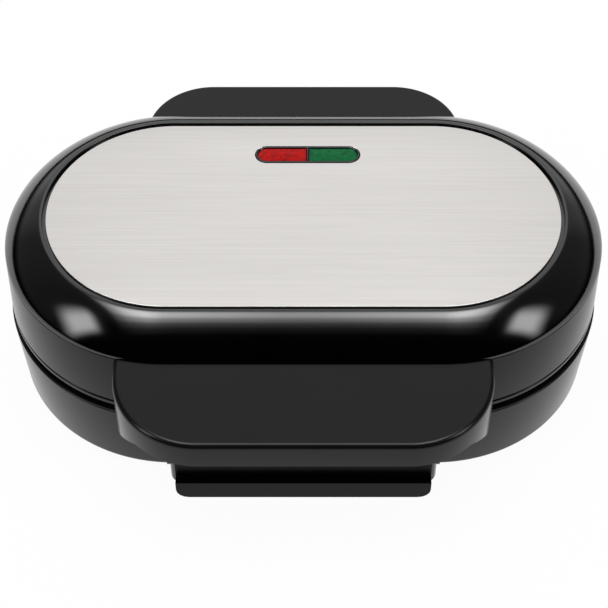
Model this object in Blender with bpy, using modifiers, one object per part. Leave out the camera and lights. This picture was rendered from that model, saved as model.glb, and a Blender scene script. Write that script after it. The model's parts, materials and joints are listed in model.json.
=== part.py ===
"""Two-slice sandwich maker, oval, with a hinged lid, a locking clip and its inner works.

The lid and the base are ovals of one spine: a straight run with a half circle at each end.
Every shell, plate and dish is a profile carried round that oval. The lid turns on two steel
pins behind the body, and the clip turns on a rod under the lid's handle.
Units are metres. +X is to the right, -Y is the front, +Z is up, and Z = 0 is the table.
"""

import math

import bmesh
import bpy
from mathutils import Matrix, Vector

# Clearances
FIT = 0.0003                # between fixed neighbours
RUNNING = 0.0001            # between a pin and its bore, across the flats
OVERCUT = 0.0010            # how far a cutter runs past a face
MERGE = 0.000003            # points nearer than this become one

# Oval body
SPINE_HALF = 0.0550         # half the straight run of the oval
UPPER_RADIUS = 0.0693       # from the spine to the lid's side at the parting line
UPPER_FLARE = 0.0008        # how much wider the lid's side is at its lower edge
LOWER_RADIUS = 0.0708       # from the spine to the base's upper edge
LOWER_TAPER = 0.0042        # how much narrower the base is at its floor
WALL = 0.0024
END_STEPS = 20              # facets in each half circle

# Heights from the table up
FOOT_HEIGHT = 0.0040
LOWER_HEIGHT = 0.0364
SEAM_GAP = 0.0037
UPPER_HEIGHT = 0.0302
DOME_HEIGHT = 0.0134

# Steel plate and the recess that it lies in
STEEL_RADIUS = 0.0511
STEEL_THICKNESS = 0.0008
STEEL_EDGE = 0.0003
RECESS_GAP = 0.0014
RECESS_FLOOR = 0.0022
LIP_RISE = 0.0003
LIP_WIDTH = 0.0008
DOME_POWER_SHARE = 1.35     # 1 is a straight slope and 2 an ellipse
DOME_STEPS = 8
SPIGOT_DEPTH = 0.0030
SPIGOT_WALL = 0.0012

# Lid side
GROOVE_HEIGHT = 0.0028      # groove line above the lid's lower edge
GROOVE_DEPTH = 0.0006
GROOVE_WIDTH = 0.0007
EDGE_ROUND = 0.0006
BASE_FILLET = 0.0060
FILLET_STEPS = 4

# Lamp window
WINDOW_LENGTH = 0.0440
WINDOW_WIDTH = 0.0095
WINDOW_OFFSET_X = 0.0018
WINDOW_OFFSET_Y = 0.0335
WINDOW_FRAME = 0.0010
LENS_RISE = 0.0002
WINDOW_STEPS = 8
LAMP_RADIUS = 0.0030
LAMP_LENGTH = 0.0150
HOLDER_DEPTH = 0.0100
HOLDER_WALL = 0.0012

# Cooking plates
RIM_GAP = 0.0006            # between the two plates' rims
FLANGE_THICKNESS = 0.0024
FLANGE_CLEARANCE = 0.0005
LEDGE_WIDTH = 0.0025
LEDGE_THICKNESS = 0.0020
PAN_RADIUS = 0.0600
POCKET_RADIUS = 0.0570
POCKET_DEPTH = 0.0100
POCKET_DRAFT = 0.0040       # how much the pocket closes in towards its floor
PAN_FLOOR = 0.0030
PAN_ROUND = 0.0030
RIDGE_CREST = 0.0030
RIDGE_FOOT = 0.0075
RIDGE_DROP = 0.0002         # how far a crest lies below the rim
RIDGE_TURN_DEG = 45.0

# Heaters, clamps and reflectors
HEATER_RADIUS = 0.00325
HEATER_LOOP = 0.0340        # from the spine to the tube
HEATER_BEND = 0.0080
TAIL_SPACING = 0.0160
TAIL_LENGTH = 0.0120
HEATER_ARC_STEPS = 12
BEND_STEPS = 4
CLAMP_THICKNESS = 0.0012
CLAMP_WIDTH = 0.0100
CLAMP_FLANGE = 0.0060
DISH_RADIUS = 0.0520
DISH_SLOPE = 0.0030
DISH_CLEARANCE = 0.0025     # from the tube to the dish's floor
DISH_SHEET = 0.0008

# Thermostat, thermal fuse and terminal block
THERMOSTAT_RADIUS = 0.0085
THERMOSTAT_HEIGHT = 0.0115
THERMOSTAT_NECK_SHARE = 0.6
THERMOSTAT_BRIM_SHARE = 0.35
THERMOSTAT_HOLE_GAP = 0.0008
FUSE_RADIUS = 0.0022
FUSE_LENGTH = 0.0140
FUSE_OFFSET_X = 0.0300
TERMINAL_SIZE = (0.0320, 0.0150, 0.0100)
TERMINAL_HOLES = 3
TERMINAL_HOLE_RADIUS = 0.0022
TERMINAL_OFFSET_Y = 0.0400

# Lid handle
HANDLE_HALF_WIDTH = 0.0747
HANDLE_REACH = 0.1080
HANDLE_CORNER = 0.0343
HANDLE_FACE = 0.0145        # height of the handle's front face
HANDLE_LEVEL_RUN = 0.0103   # level part of its underside
HANDLE_SLOPE_RUN = 0.0167
HANDLE_ROOT_DEPTH = 0.0281
HANDLE_WALL = 0.0025
HANDLE_EDGE = 0.0012
UNDERSIDE_SHEET = 0.0022
CORNER_STEPS = 12

# Base handle
GRIP_HALF_WIDTH = 0.0535
GRIP_REACH = 0.0930
GRIP_DROP = 0.0002          # from the base's upper edge to the grip's top
GRIP_HEIGHT = 0.0131
GRIP_CORNER = 0.0050
GRIP_WALL = 0.0024
KEEPER_HALF_WIDTH = 0.0220
KEEPER_HEIGHT = 0.0062
KEEPER_SILL = 0.0040        # from the grip's lower edge to the keeper window

# Locking clip
CLIP_HALF_WIDTH = 0.0503
CLIP_REACH = 0.1034
CLIP_PIVOT_BACK = 0.0087    # from the handle's front to the clip's rod
CLIP_PIVOT_DROP = 0.0046    # from the handle's underside to the clip's rod
CLIP_BARREL_RADIUS = 0.0034
CLIP_ROD_RADIUS = 0.0015
CLIP_WEB = 0.0024
CLIP_WEB_FRONT = 0.0035     # from the bar's front to the web
CLIP_BAR_HEIGHT = 0.0097
CLIP_BOTTOM_DROP = 0.0229   # from the rod to the clip's lower edge
CLIP_CORNER = 0.0050
TOOTH_LENGTH = 0.0033
TOOTH_HEIGHT = 0.0025
TOOTH_HALF_WIDTH = 0.0200
CLIP_LUG_WIDTH = 0.0022

# Lid hinge
HINGE_SETBACK = 0.0092      # from the base's upper edge back to the pin
HINGE_PIN_RADIUS = 0.0020
HINGE_EAR_RADIUS = 0.0060
HINGE_EAR_WIDTH = 0.0055
HINGE_LUG_WIDTH = 0.0120
HINGE_SPACING = 0.0340      # from the middle of the body to each lug
PIN_SIDES = 24
SMALL_SIDES = 12

# Hinge cover at the back of the lid
WING_HALF_WIDTH = 0.0694
WING_REACH = 0.0916
WING_CORNER = 0.0284
WING_SKIRT_RISE = 0.0055    # skirt's lower edge above the pin
WING_WALL = 0.0024
EAR_ROOT_FRONT = 0.0090
EAR_ROOT_BACK = 0.0070

# Hinge block at the back of the base
BLOCK_HALF_WIDTH = 0.0620
BLOCK_BEHIND_PIN = 0.0010
BLOCK_TOP_DROP = 0.0085
BLOCK_CORNER = 0.0080
LUG_ROOT_FRONT = 0.0085

# Cord gland
GLAND_RADIUS = 0.0048
GLAND_BORE = 0.0036
GLAND_FLANGE_RADIUS = 0.0068
GLAND_FLANGE = 0.0025
GLAND_DEPTH = 0.0070
GLAND_HEIGHT = 0.0140       # above the base's floor
GLAND_SIDES = 24

# Feet
FOOT_RADIUS = 0.0070
FOOT_EDGE = 0.0008
FOOT_SIDES = 24
FRONT_FOOT_X = 0.0620
FRONT_FOOT_Y = 0.0480
REAR_FOOT_X = 0.0480

# Levels and places that follow from the sizes above
BODY_Y = (HANDLE_REACH - WING_REACH) / 2
BASE_Z = FOOT_HEIGHT
LOWER_TOP = BASE_Z + LOWER_HEIGHT
UPPER_BOTTOM = LOWER_TOP + SEAM_GAP
PARTING = UPPER_BOTTOM + UPPER_HEIGHT
TOP = PARTING + DOME_HEIGHT
RECESS_TOP = TOP - STEEL_THICKNESS - FIT
RECESS_UNDER = RECESS_TOP - RECESS_FLOOR
SEAM_MIDDLE = LOWER_TOP + SEAM_GAP / 2
LOWER_RIM = SEAM_MIDDLE - RIM_GAP / 2
UPPER_RIM = SEAM_MIDDLE + RIM_GAP / 2
PAN_THICKNESS = POCKET_DEPTH + PAN_FLOOR
DISH_DEPTH = 2 * HEATER_RADIUS + DISH_CLEARANCE
LOWER_FLANGE_RADIUS = LOWER_RADIUS - WALL - FLANGE_CLEARANCE
UPPER_FLANGE_RADIUS = UPPER_RADIUS + UPPER_FLARE - WALL - FLANGE_CLEARANCE
HANDLE_UNDER = PARTING - HANDLE_FACE
HANDLE_ROOT = PARTING - HANDLE_ROOT_DEPTH
GRIP_TOP = LOWER_TOP - GRIP_DROP
GRIP_BOTTOM = GRIP_TOP - GRIP_HEIGHT
CLIP_PIVOT_Y = BODY_Y - HANDLE_REACH + CLIP_PIVOT_BACK
CLIP_PIVOT_Z = HANDLE_UNDER - CLIP_PIVOT_DROP
CLIP_BOTTOM = CLIP_PIVOT_Z - CLIP_BOTTOM_DROP
HINGE_Y = BODY_Y + LOWER_RADIUS + HINGE_SETBACK
HINGE_Z = SEAM_MIDDLE
SKIRT_BOTTOM = HINGE_Z + WING_SKIRT_RISE
BLOCK_TOP = HINGE_Z - BLOCK_TOP_DROP
WINDOW_X = WINDOW_OFFSET_X
WINDOW_Y = BODY_Y + WINDOW_OFFSET_Y
REAR_FOOT_Y = HINGE_Y + BLOCK_BEHIND_PIN - FOOT_RADIUS - FOOT_EDGE
PIN_LENGTH = HINGE_LUG_WIDTH + 2 * (FIT + HINGE_EAR_WIDTH)

# Finishes: colour, roughness, metallic
FINISHES = {
    "gloss_black": ((0.004, 0.004, 0.004), 0.12, 0.0),
    "satin_black": ((0.020, 0.021, 0.022), 0.45, 0.0),
    "brushed_steel": ((0.60, 0.58, 0.56), 0.32, 1.0),
    "nonstick_black": ((0.012, 0.012, 0.013), 0.35, 0.0),
    "plain_steel": ((0.45, 0.45, 0.46), 0.35, 1.0),
    "bright_sheet": ((0.75, 0.75, 0.76), 0.25, 1.0),
    "red_lens": ((0.52, 0.006, 0.003), 0.15, 0.0),
    "green_lens": ((0.002, 0.15, 0.045), 0.15, 0.0),
    "lamp_glass": ((0.80, 0.70, 0.60), 0.10, 0.0),
    "ceramic": ((0.75, 0.72, 0.65), 0.60, 0.0),
    "rubber": ((0.015, 0.015, 0.015), 0.80, 0.0),
}


def clear_scene():
    """Remove every object, so that the script can run again in an open file."""
    for thing in list(bpy.data.objects):
        bpy.data.objects.remove(thing, do_unlink=True)


def make_collection(name):
    """Return an empty collection with this name, linked to the scene."""
    group = bpy.data.collections.get(name) or bpy.data.collections.new(name)
    if name not in bpy.context.scene.collection.children:
        bpy.context.scene.collection.children.link(group)
    return group


clear_scene()
PARTS = make_collection("sandwich_maker")
CUTTERS = make_collection("cutters")


def finish(thing, finish_name):
    """Give a piece its own material and smooth shading across its soft edges."""
    colour, roughness, metallic = FINISHES[finish_name]
    material = bpy.data.materials.new(thing.name)
    material.use_nodes = True
    shader = material.node_tree.nodes["Principled BSDF"]
    shader.inputs["Base Color"].default_value = (*colour, 1.0)
    shader.inputs["Roughness"].default_value = roughness
    shader.inputs["Metallic"].default_value = metallic
    thing.data.materials.clear()
    thing.data.materials.append(material)
    thing.data.shade_smooth()
    thing.data.set_sharp_from_angle(angle=math.radians(32))
    return thing


def add_object(name, bm, cutter=False):
    """Turn a bmesh into a named object in the right collection."""
    bmesh.ops.recalc_face_normals(bm, faces=bm.faces)
    mesh = bpy.data.meshes.new(name)
    bm.to_mesh(mesh)
    bm.free()
    thing = bpy.data.objects.new(name, mesh)
    (CUTTERS if cutter else PARTS).objects.link(thing)
    if cutter:
        thing.hide_render = True
        thing.display_type = "WIRE"
    return thing


def boolean(thing, tool, operation):
    """Cut, join or intersect a piece with a tool, as a live modifier."""
    modifier = thing.modifiers.new(f"{operation.lower()} {tool.name}", "BOOLEAN")
    modifier.operation = operation
    modifier.solver = "EXACT"
    modifier.object = tool
    return thing


def parent_to(thing, carrier):
    """Hang a piece on an empty and keep it where it is."""
    thing.parent = carrier
    thing.matrix_parent_inverse = carrier.matrix_world.inverted()


def make_pivot(name, place, carrier=None):
    """Add an empty at a place, such as a point on a joint's axis."""
    pivot = bpy.data.objects.new(name, None)
    pivot.location = place
    PARTS.objects.link(pivot)
    bpy.context.view_layer.update()
    if carrier:
        parent_to(pivot, carrier)
        bpy.context.view_layer.update()
    return pivot


def oval(name, profile, place=(0, 0, 0), closed=True, cutter=False):
    """Carry a profile of (radius, height) points round the oval's spine.

    A closed profile makes a ring. An open one starts and ends at radius zero, on the spine,
    and makes a solid. Each end of the oval is a spin, and each side is an extrusion.
    """
    bm = bmesh.new()
    points = [bm.verts.new((SPINE_HALF, -radius, height)) for radius, height in profile]
    pairs = list(zip(points, points[1:]))
    if closed:
        pairs.append((points[-1], points[0]))
    edges = [bm.edges.new(pair) for pair in pairs]
    last = points + edges
    for side in (1, -1):
        turned = bmesh.ops.spin(bm, geom=last, cent=(side * SPINE_HALF, 0, 0), axis=(0, 0, 1),
                                angle=math.pi, steps=END_STEPS)
        ends = [item for item in turned["geom_last"] if isinstance(item, bmesh.types.BMEdge)]
        drawn = bmesh.ops.extrude_edge_only(bm, edges=ends)["geom"]
        moved = [item for item in drawn if isinstance(item, bmesh.types.BMVert)]
        bmesh.ops.translate(bm, verts=moved, vec=(-2 * side * SPINE_HALF, 0, 0))
        last = moved + [item for item in drawn if isinstance(item, bmesh.types.BMEdge)
                        and all(vertex in moved for vertex in item.verts)]
    bmesh.ops.remove_doubles(bm, verts=bm.verts, dist=MERGE)
    bmesh.ops.dissolve_degenerate(bm, edges=bm.edges, dist=MERGE)
    thing = add_object(name, bm, cutter)
    thing.location = place
    return thing


def arc(centre, radius, start, end, steps):
    """Points on an arc, from one angle to another, in degrees."""
    angles = [math.radians(start + (end - start) * step / steps) for step in range(steps + 1)]
    return [(centre[0] + radius * math.cos(a), centre[1] + radius * math.sin(a)) for a in angles]


def slab(name, outline, low, high, turn=None, cutter=False):
    """Extrude a flat outline from one level to another, as a filled curve made into a mesh.

    turn "side" lays the outline in the Y-Z plane and runs the levels along X.
    turn "front" lays it in the X-Z plane and runs the levels along -Y.
    """
    curve = bpy.data.curves.new(name, "CURVE")
    curve.dimensions = "2D"
    curve.fill_mode = "BOTH"
    curve.extrude = (high - low) / 2
    spline = curve.splines.new("POLY")
    spline.points.add(len(outline) - 1)
    for point, (across, along) in zip(spline.points, outline):
        point.co = (across, along, 0, 1)
    spline.use_cyclic_u = True
    flat = bpy.data.objects.new(name + "_outline", curve)
    PARTS.objects.link(flat)
    shift = Matrix.Translation((0, 0, (high + low) / 2))
    if turn == "side":
        flat.matrix_world = Matrix(((0, 0, 1, 0), (1, 0, 0, 0), (0, 1, 0, 0), (0, 0, 0, 1))) @ shift
    elif turn == "front":
        flat.matrix_world = Matrix.Rotation(math.radians(90), 4, "X") @ shift
    else:
        flat.matrix_world = shift
    return mesh_from_curve(name, flat, cutter)


def mesh_from_curve(name, source, cutter=False):
    """Make a curve object a mesh with its caps welded, and remove the curve."""
    bpy.context.view_layer.update()
    depsgraph = bpy.context.evaluated_depsgraph_get()
    mesh = bpy.data.meshes.new_from_object(source.evaluated_get(depsgraph))
    bm = bmesh.new()
    bm.from_mesh(mesh)
    bmesh.ops.remove_doubles(bm, verts=bm.verts, dist=MERGE)
    thing = add_object(name, bm, cutter)
    thing.matrix_world = source.matrix_world
    bpy.data.objects.remove(source, do_unlink=True)
    bpy.data.meshes.remove(mesh)
    return thing


def tube(name, path, radius):
    """A round tube along a list of points, with closed ends."""
    curve = bpy.data.curves.new(name, "CURVE")
    curve.dimensions = "3D"
    curve.bevel_depth = radius
    curve.bevel_resolution = 2
    curve.use_fill_caps = True
    spline = curve.splines.new("POLY")
    spline.points.add(len(path) - 1)
    for point, place in zip(spline.points, path):
        point.co = (*place, 1)
    route = bpy.data.objects.new(name + "_route", curve)
    PARTS.objects.link(route)
    return mesh_from_curve(name, route)


def rod(name, radius, length, place, axis="Z", sides=PIN_SIDES, cutter=False, edge=0.0):
    """A cylinder centred on a place, along X, Y or Z."""
    bm = bmesh.new()
    bmesh.ops.create_cone(bm, cap_ends=True, segments=sides, radius1=radius, radius2=radius, depth=length)
    thing = add_object(name, bm, cutter)
    thing.location = place
    if axis == "X":
        thing.rotation_euler = (0, math.radians(90), 0)
    elif axis == "Y":
        thing.rotation_euler = (math.radians(90), 0, 0)
    if edge:
        bevel_edges(thing, edge)
    return thing


def block(name, low, high, cutter=False, edge=0.0):
    """A box between two corners."""
    size = [b - a for a, b in zip(low, high)]
    bm = bmesh.new()
    bmesh.ops.create_cube(bm, size=1.0)
    bmesh.ops.scale(bm, vec=size, verts=bm.verts)
    thing = add_object(name, bm, cutter)
    thing.location = [(a + b) / 2 for a, b in zip(low, high)]
    if edge:
        bevel_edges(thing, edge)
    return thing


def bevel_edges(thing, width, segments=2, angle=40):
    """Round a piece's sharp edges."""
    modifier = thing.modifiers.new("rounded edges", "BEVEL")
    modifier.width = width
    modifier.segments = segments
    modifier.limit_method = "ANGLE"
    modifier.angle_limit = math.radians(angle)
    return thing


def bore_radius(pin_radius, sides):
    """Radius of a faceted bore whose flats clear a turning pin."""
    return (pin_radius + RUNNING) / math.cos(math.pi / sides)


def lower_side(height):
    """Radius of the base's outer side at a height."""
    return LOWER_RADIUS - LOWER_TAPER * (LOWER_TOP - height) / LOWER_HEIGHT


def dome(radius, height, foot, inner_radius):
    """Points of the dome from its inner edge out and down to the parting line."""
    power = 2 / DOME_POWER_SHARE
    points = []
    for step in range(DOME_STEPS + 1):
        turn = math.pi / 2 * (1 - step / DOME_STEPS)
        across = inner_radius + (radius - inner_radius) * math.cos(turn) ** power
        up = foot + height * math.sin(turn) ** power
        points.append((across, up))
    return points


def make_top_cover():
    """Gloss cover: a recess for the steel plate, a lip round it and the dome's shoulder."""
    recess = STEEL_RADIUS + RECESS_GAP
    lip = recess + LIP_WIDTH
    inside = UPPER_RADIUS - WALL
    spigot = inside - FIT - UPPER_FLARE / 2
    profile = [(0, RECESS_TOP), (recess, RECESS_TOP), (recess, TOP)]
    profile += [(recess + LIP_WIDTH / 3, TOP + LIP_RISE)]
    profile += dome(UPPER_RADIUS, DOME_HEIGHT + LIP_RISE, PARTING, lip)
    foot = PARTING + WALL / 2
    profile += [(spigot, PARTING), (spigot, PARTING - SPIGOT_DEPTH),
                (spigot - SPIGOT_WALL, PARTING - SPIGOT_DEPTH), (spigot - SPIGOT_WALL, foot)]
    under = dome(spigot - SPIGOT_WALL, RECESS_UNDER - foot, foot, recess - WALL)
    profile += under[-2::-1]
    profile += [(0, RECESS_UNDER)]
    cover = oval("top_cover", profile, (0, BODY_Y, 0), closed=False)
    window = window_solid("window_in_cover", FIT, RECESS_UNDER - OVERCUT, TOP + OVERCUT, cutter=True)
    boolean(cover, window, "DIFFERENCE")
    return finish(cover, "gloss_black")


def slot_outline(length, width):
    """A slot with round ends, centred on the lamp window."""
    run = (length - width) / 2
    right = arc((WINDOW_X + run, WINDOW_Y), width / 2, -90, 90, WINDOW_STEPS)
    left = arc((WINDOW_X - run, WINDOW_Y), width / 2, 90, 270, WINDOW_STEPS)
    return right + left


def window_solid(name, grow, low, high, cutter=False):
    """The lamp window's slot, grown by a clearance and run between two levels."""
    outline = slot_outline(WINDOW_LENGTH + 2 * grow, WINDOW_WIDTH + 2 * grow)
    return slab(name, outline, low, high, cutter=cutter)


def make_steel_plate():
    """Brushed plate that lies in the cover's recess."""
    bottom = TOP - STEEL_THICKNESS
    profile = [(0, TOP), (STEEL_RADIUS - STEEL_EDGE, TOP), (STEEL_RADIUS, TOP - STEEL_EDGE),
               (STEEL_RADIUS, bottom), (0, bottom)]
    plate = oval("steel_plate", profile, (0, BODY_Y, 0), closed=False)
    window = window_solid("window_in_steel", FIT, bottom - OVERCUT, TOP + OVERCUT, cutter=True)
    boolean(plate, window, "DIFFERENCE")
    return finish(plate, "brushed_steel")


def make_lamp_window():
    """Frame with a bar across its middle, and a red and a green lens in it."""
    top = TOP + LENS_RISE
    frame = window_solid("lamp_frame", 0, RECESS_UNDER, top)
    inner_width = WINDOW_WIDTH - 2 * WINDOW_FRAME
    run = (WINDOW_LENGTH - WINDOW_WIDTH) / 2
    pieces = [finish(frame, "gloss_black")]
    for side, name in ((-1, "red_lens"), (1, "green_lens")):
        for gap, owner in ((0, "hole"), (FIT, "lens")):
            inner = WINDOW_X + side * (WINDOW_FRAME / 2 + gap)
            radius = inner_width / 2 - gap
            bend = arc((WINDOW_X + side * run, WINDOW_Y), radius, -90, 90 if side > 0 else -270, WINDOW_STEPS)
            outline = bend + [(inner, WINDOW_Y + radius), (inner, WINDOW_Y - radius)]
            if owner == "hole":
                hole = slab(name + "_hole", outline, RECESS_UNDER - OVERCUT, top + OVERCUT, cutter=True)
                boolean(frame, hole, "DIFFERENCE")
            else:
                pieces.append(finish(slab(name, outline, RECESS_UNDER, TOP), name))
    return pieces


def make_lamps():
    """Two neon lamps in a tray that hangs under the window."""
    top = RECESS_UNDER - FIT
    floor = top - HOLDER_DEPTH + HOLDER_WALL
    inner_length = WINDOW_LENGTH / 2 - HOLDER_WALL
    inner_width = LAMP_RADIUS + FIT
    outer_width = inner_width + HOLDER_WALL
    tray = block("lamp_holder",
                 (WINDOW_X - WINDOW_LENGTH / 2, WINDOW_Y - outer_width, top - HOLDER_DEPTH),
                 (WINDOW_X + WINDOW_LENGTH / 2, WINDOW_Y + outer_width, top))
    hollow = block("lamp_holder_hollow",
                   (WINDOW_X - inner_length, WINDOW_Y - inner_width, floor),
                   (WINDOW_X + inner_length, WINDOW_Y + inner_width, top + OVERCUT), cutter=True)
    boolean(tray, hollow, "DIFFERENCE")
    pieces = [finish(tray, "satin_black")]
    height = floor + FIT + LAMP_RADIUS
    for side, name in ((-1, "red_lamp"), (1, "green_lamp")):
        place = (WINDOW_X + side * WINDOW_LENGTH / 4, WINDOW_Y, height)
        lamp = rod(name, LAMP_RADIUS, LAMP_LENGTH, place, "X", SMALL_SIDES, edge=LAMP_RADIUS / 3)
        pieces.append(finish(lamp, "lamp_glass"))
    return pieces


def make_upper_housing():
    """Satin side of the lid, with a groove line and a ledge that holds the cooking plate."""
    top = PARTING - FIT
    wide = UPPER_RADIUS + UPPER_FLARE
    inside = wide - WALL
    groove = UPPER_BOTTOM + GROOVE_HEIGHT
    ledge = UPPER_RIM + FLANGE_THICKNESS + FIT
    ledge_radius = UPPER_FLANGE_RADIUS - LEDGE_WIDTH
    profile = [
        (UPPER_RADIUS, top),
        (wide, groove + GROOVE_WIDTH / 2),
        (wide - GROOVE_DEPTH, groove),
        (wide, groove - GROOVE_WIDTH / 2),
        (wide, UPPER_BOTTOM + EDGE_ROUND),
        (wide - EDGE_ROUND, UPPER_BOTTOM),
        (inside, UPPER_BOTTOM),
        (inside, ledge),
        (ledge_radius, ledge),
        (ledge_radius, ledge + LEDGE_THICKNESS),
        (inside, ledge + 2 * LEDGE_THICKNESS),
        (UPPER_RADIUS - WALL, top),
    ]
    return finish(oval("upper_housing", profile, (0, BODY_Y, 0)), "satin_black")


def make_lower_housing():
    """Bowl of the base: tapered side, rounded foot, floor and a ledge for the cooking plate."""
    floor_radius = LOWER_RADIUS - LOWER_TAPER
    foot = arc((floor_radius - BASE_FILLET, BASE_Z + BASE_FILLET), BASE_FILLET, 0, -90, FILLET_STEPS)
    ledge = LOWER_RIM - FLANGE_THICKNESS - FIT
    ledge_radius = LOWER_FLANGE_RADIUS - LEDGE_WIDTH
    inside_top = LOWER_RADIUS - WALL
    inside_foot = floor_radius - WALL
    profile = [(0, BASE_Z + WALL), (inside_foot - WALL, BASE_Z + WALL), (inside_foot, BASE_Z + 2 * WALL),
               (lower_side(ledge) - WALL, ledge - 2 * LEDGE_THICKNESS),
               (ledge_radius, ledge - LEDGE_THICKNESS), (ledge_radius, ledge),
               (inside_top, ledge), (inside_top, LOWER_TOP),
               (LOWER_RADIUS - EDGE_ROUND, LOWER_TOP), (LOWER_RADIUS, LOWER_TOP - EDGE_ROUND)]
    profile += foot + [(0, BASE_Z)]
    bowl = oval("lower_housing", profile, (0, BODY_Y, 0), closed=False)
    cable = rod("cable_hole", GLAND_RADIUS + FIT, 2 * HINGE_SETBACK,
                (0, BODY_Y + LOWER_RADIUS, gland_z()), "Y", GLAND_SIDES, cutter=True)
    boolean(bowl, cable, "DIFFERENCE")
    return finish(bowl, "satin_black")


def ridge(name, length, place, turn_deg):
    """A cutter's wedge that leaves a cutting ridge standing in the pockets."""
    depth = POCKET_DEPTH + OVERCUT
    crest = RIDGE_CREST / 2
    foot = RIDGE_FOOT / 2
    outline = [(-foot, -depth), (foot, -depth), (crest, -RIDGE_DROP), (-crest, -RIDGE_DROP)]
    wedge = slab(name, outline, -length / 2, length / 2, turn="side", cutter=True)
    turn = Matrix.Rotation(math.radians(turn_deg), 4, "Z")
    wedge.matrix_world = Matrix.Translation(place) @ turn @ wedge.matrix_world
    return wedge


def make_cooking_plate(name, flange_radius, rim, flipped):
    """Cast plate: flange on the ledge, rim, and four pockets between cutting ridges."""
    turn = Matrix.Rotation(math.pi, 4, "Y") if flipped else Matrix.Identity(4)
    frame = Matrix.Translation((0, BODY_Y, rim)) @ turn
    pan = PAN_RADIUS
    profile = [(0, 0), (flange_radius, 0), (flange_radius, -FLANGE_THICKNESS),
               (pan + PAN_ROUND, -FLANGE_THICKNESS), (pan, -FLANGE_THICKNESS - PAN_ROUND),
               (pan - PAN_ROUND, -PAN_THICKNESS), (0, -PAN_THICKNESS)]
    plate = oval(name, profile, closed=False)
    plate.matrix_world = frame
    floor = POCKET_RADIUS - POCKET_DRAFT
    pocket = [(0, OVERCUT), (POCKET_RADIUS, OVERCUT), (POCKET_RADIUS, 0),
              (floor, -POCKET_DEPTH), (0, -POCKET_DEPTH)]
    hollow = oval(name + "_pockets", pocket, closed=False, cutter=True)
    hollow.matrix_world = frame
    middle = (SPINE_HALF + POCKET_RADIUS) / 2
    length = 4 * POCKET_RADIUS
    wedges = [ridge(name + "_middle_ridge", length, (0, 0, 0), 90)]
    wedges += [ridge(f"{name}_ridge_{side}", length, (side * middle, 0, 0), side * RIDGE_TURN_DEG)
               for side in (-1, 1)]
    for wedge in wedges:
        wedge.matrix_world = frame @ wedge.matrix_world
        boolean(hollow, wedge, "DIFFERENCE")
    boolean(plate, hollow, "DIFFERENCE")
    return finish(plate, "nonstick_black")


def heater_path(height):
    """Points of the heater tube: a loop round the spine with two tails at the back."""
    loop = HEATER_LOOP
    tail = TAIL_SPACING / 2
    bend = HEATER_BEND
    path = [(tail, loop + TAIL_LENGTH)]
    path += arc((tail + bend, loop + bend), bend, 180, 270, BEND_STEPS)
    path += arc((SPINE_HALF, 0), loop, 90, -90, HEATER_ARC_STEPS)
    half = path
    mirrored = [(-across, along) for across, along in reversed(half)]
    return [(across, along + BODY_Y, height) for across, along in half + mirrored]


def make_heater(name, height):
    """Sheathed heating tube against a cooking plate's back."""
    return finish(tube(name, heater_path(height), HEATER_RADIUS), "plain_steel")


def make_clamp(name, side, height, up):
    """Strap over the heater tube, flat on the cooking plate's back on both sides of it."""
    inner = HEATER_RADIUS + FIT
    outer = inner + CLAMP_THICKNESS
    seat = -HEATER_RADIUS
    foot = outer + CLAMP_FLANGE
    outline = [(-foot, seat), (-inner, seat)]
    outline += arc((0, 0), inner, 180, 0, BEND_STEPS * 2)
    outline += [(inner, seat), (foot, seat), (foot, seat + CLAMP_THICKNESS), (outer, seat + CLAMP_THICKNESS)]
    outline += arc((0, 0), outer, 0, 180, BEND_STEPS * 2)
    outline += [(-outer, seat + CLAMP_THICKNESS), (-foot, seat + CLAMP_THICKNESS)]
    strap = slab(name, outline, -CLAMP_WIDTH / 2, CLAMP_WIDTH / 2, turn="side")
    turn = Matrix.Identity(4) if up else Matrix.Rotation(math.pi, 4, "Y")
    place = Matrix.Translation((side * SPINE_HALF / 2, BODY_Y - HEATER_LOOP, height))
    strap.matrix_world = place @ turn @ strap.matrix_world
    return finish(strap, "plain_steel")


def make_reflector(name, back, up):
    """Bright dish that closes over the heater and seats on the cooking plate's back."""
    sign = 1 if up else -1
    rim = back + sign * FIT
    floor = rim + sign * DISH_DEPTH
    sheet = sign * DISH_SHEET
    slope = DISH_RADIUS - DISH_SLOPE
    profile = [(0, floor), (slope, floor), (DISH_RADIUS, rim), (DISH_RADIUS + DISH_SHEET, rim),
               (slope + DISH_SHEET, floor + sheet), (0, floor + sheet)]
    return finish(oval(name, profile, (0, BODY_Y, 0), closed=False), "bright_sheet")


def make_thermostat(back):
    """Disc thermostat on the upper plate's back: wide body with a narrower cap."""
    low = back + FIT
    brim = low + THERMOSTAT_HEIGHT * THERMOSTAT_BRIM_SHARE
    high = low + THERMOSTAT_HEIGHT
    neck = THERMOSTAT_RADIUS * THERMOSTAT_NECK_SHARE
    profile = [(0, high), (neck, high), (neck, brim),
               (THERMOSTAT_RADIUS, brim), (THERMOSTAT_RADIUS, low), (0, low)]
    bm = bmesh.new()
    points = [bm.verts.new((across, 0, up)) for across, up in profile]
    edges = [bm.edges.new(pair) for pair in zip(points, points[1:])]
    bmesh.ops.spin(bm, geom=points + edges, cent=(0, 0, 0), axis=(0, 0, 1), angle=2 * math.pi,
                   steps=PIN_SIDES)
    bmesh.ops.remove_doubles(bm, verts=bm.verts, dist=MERGE)
    body = add_object("thermostat", bm)
    body.location = (0, BODY_Y, 0)
    return finish(body, "ceramic")


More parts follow.
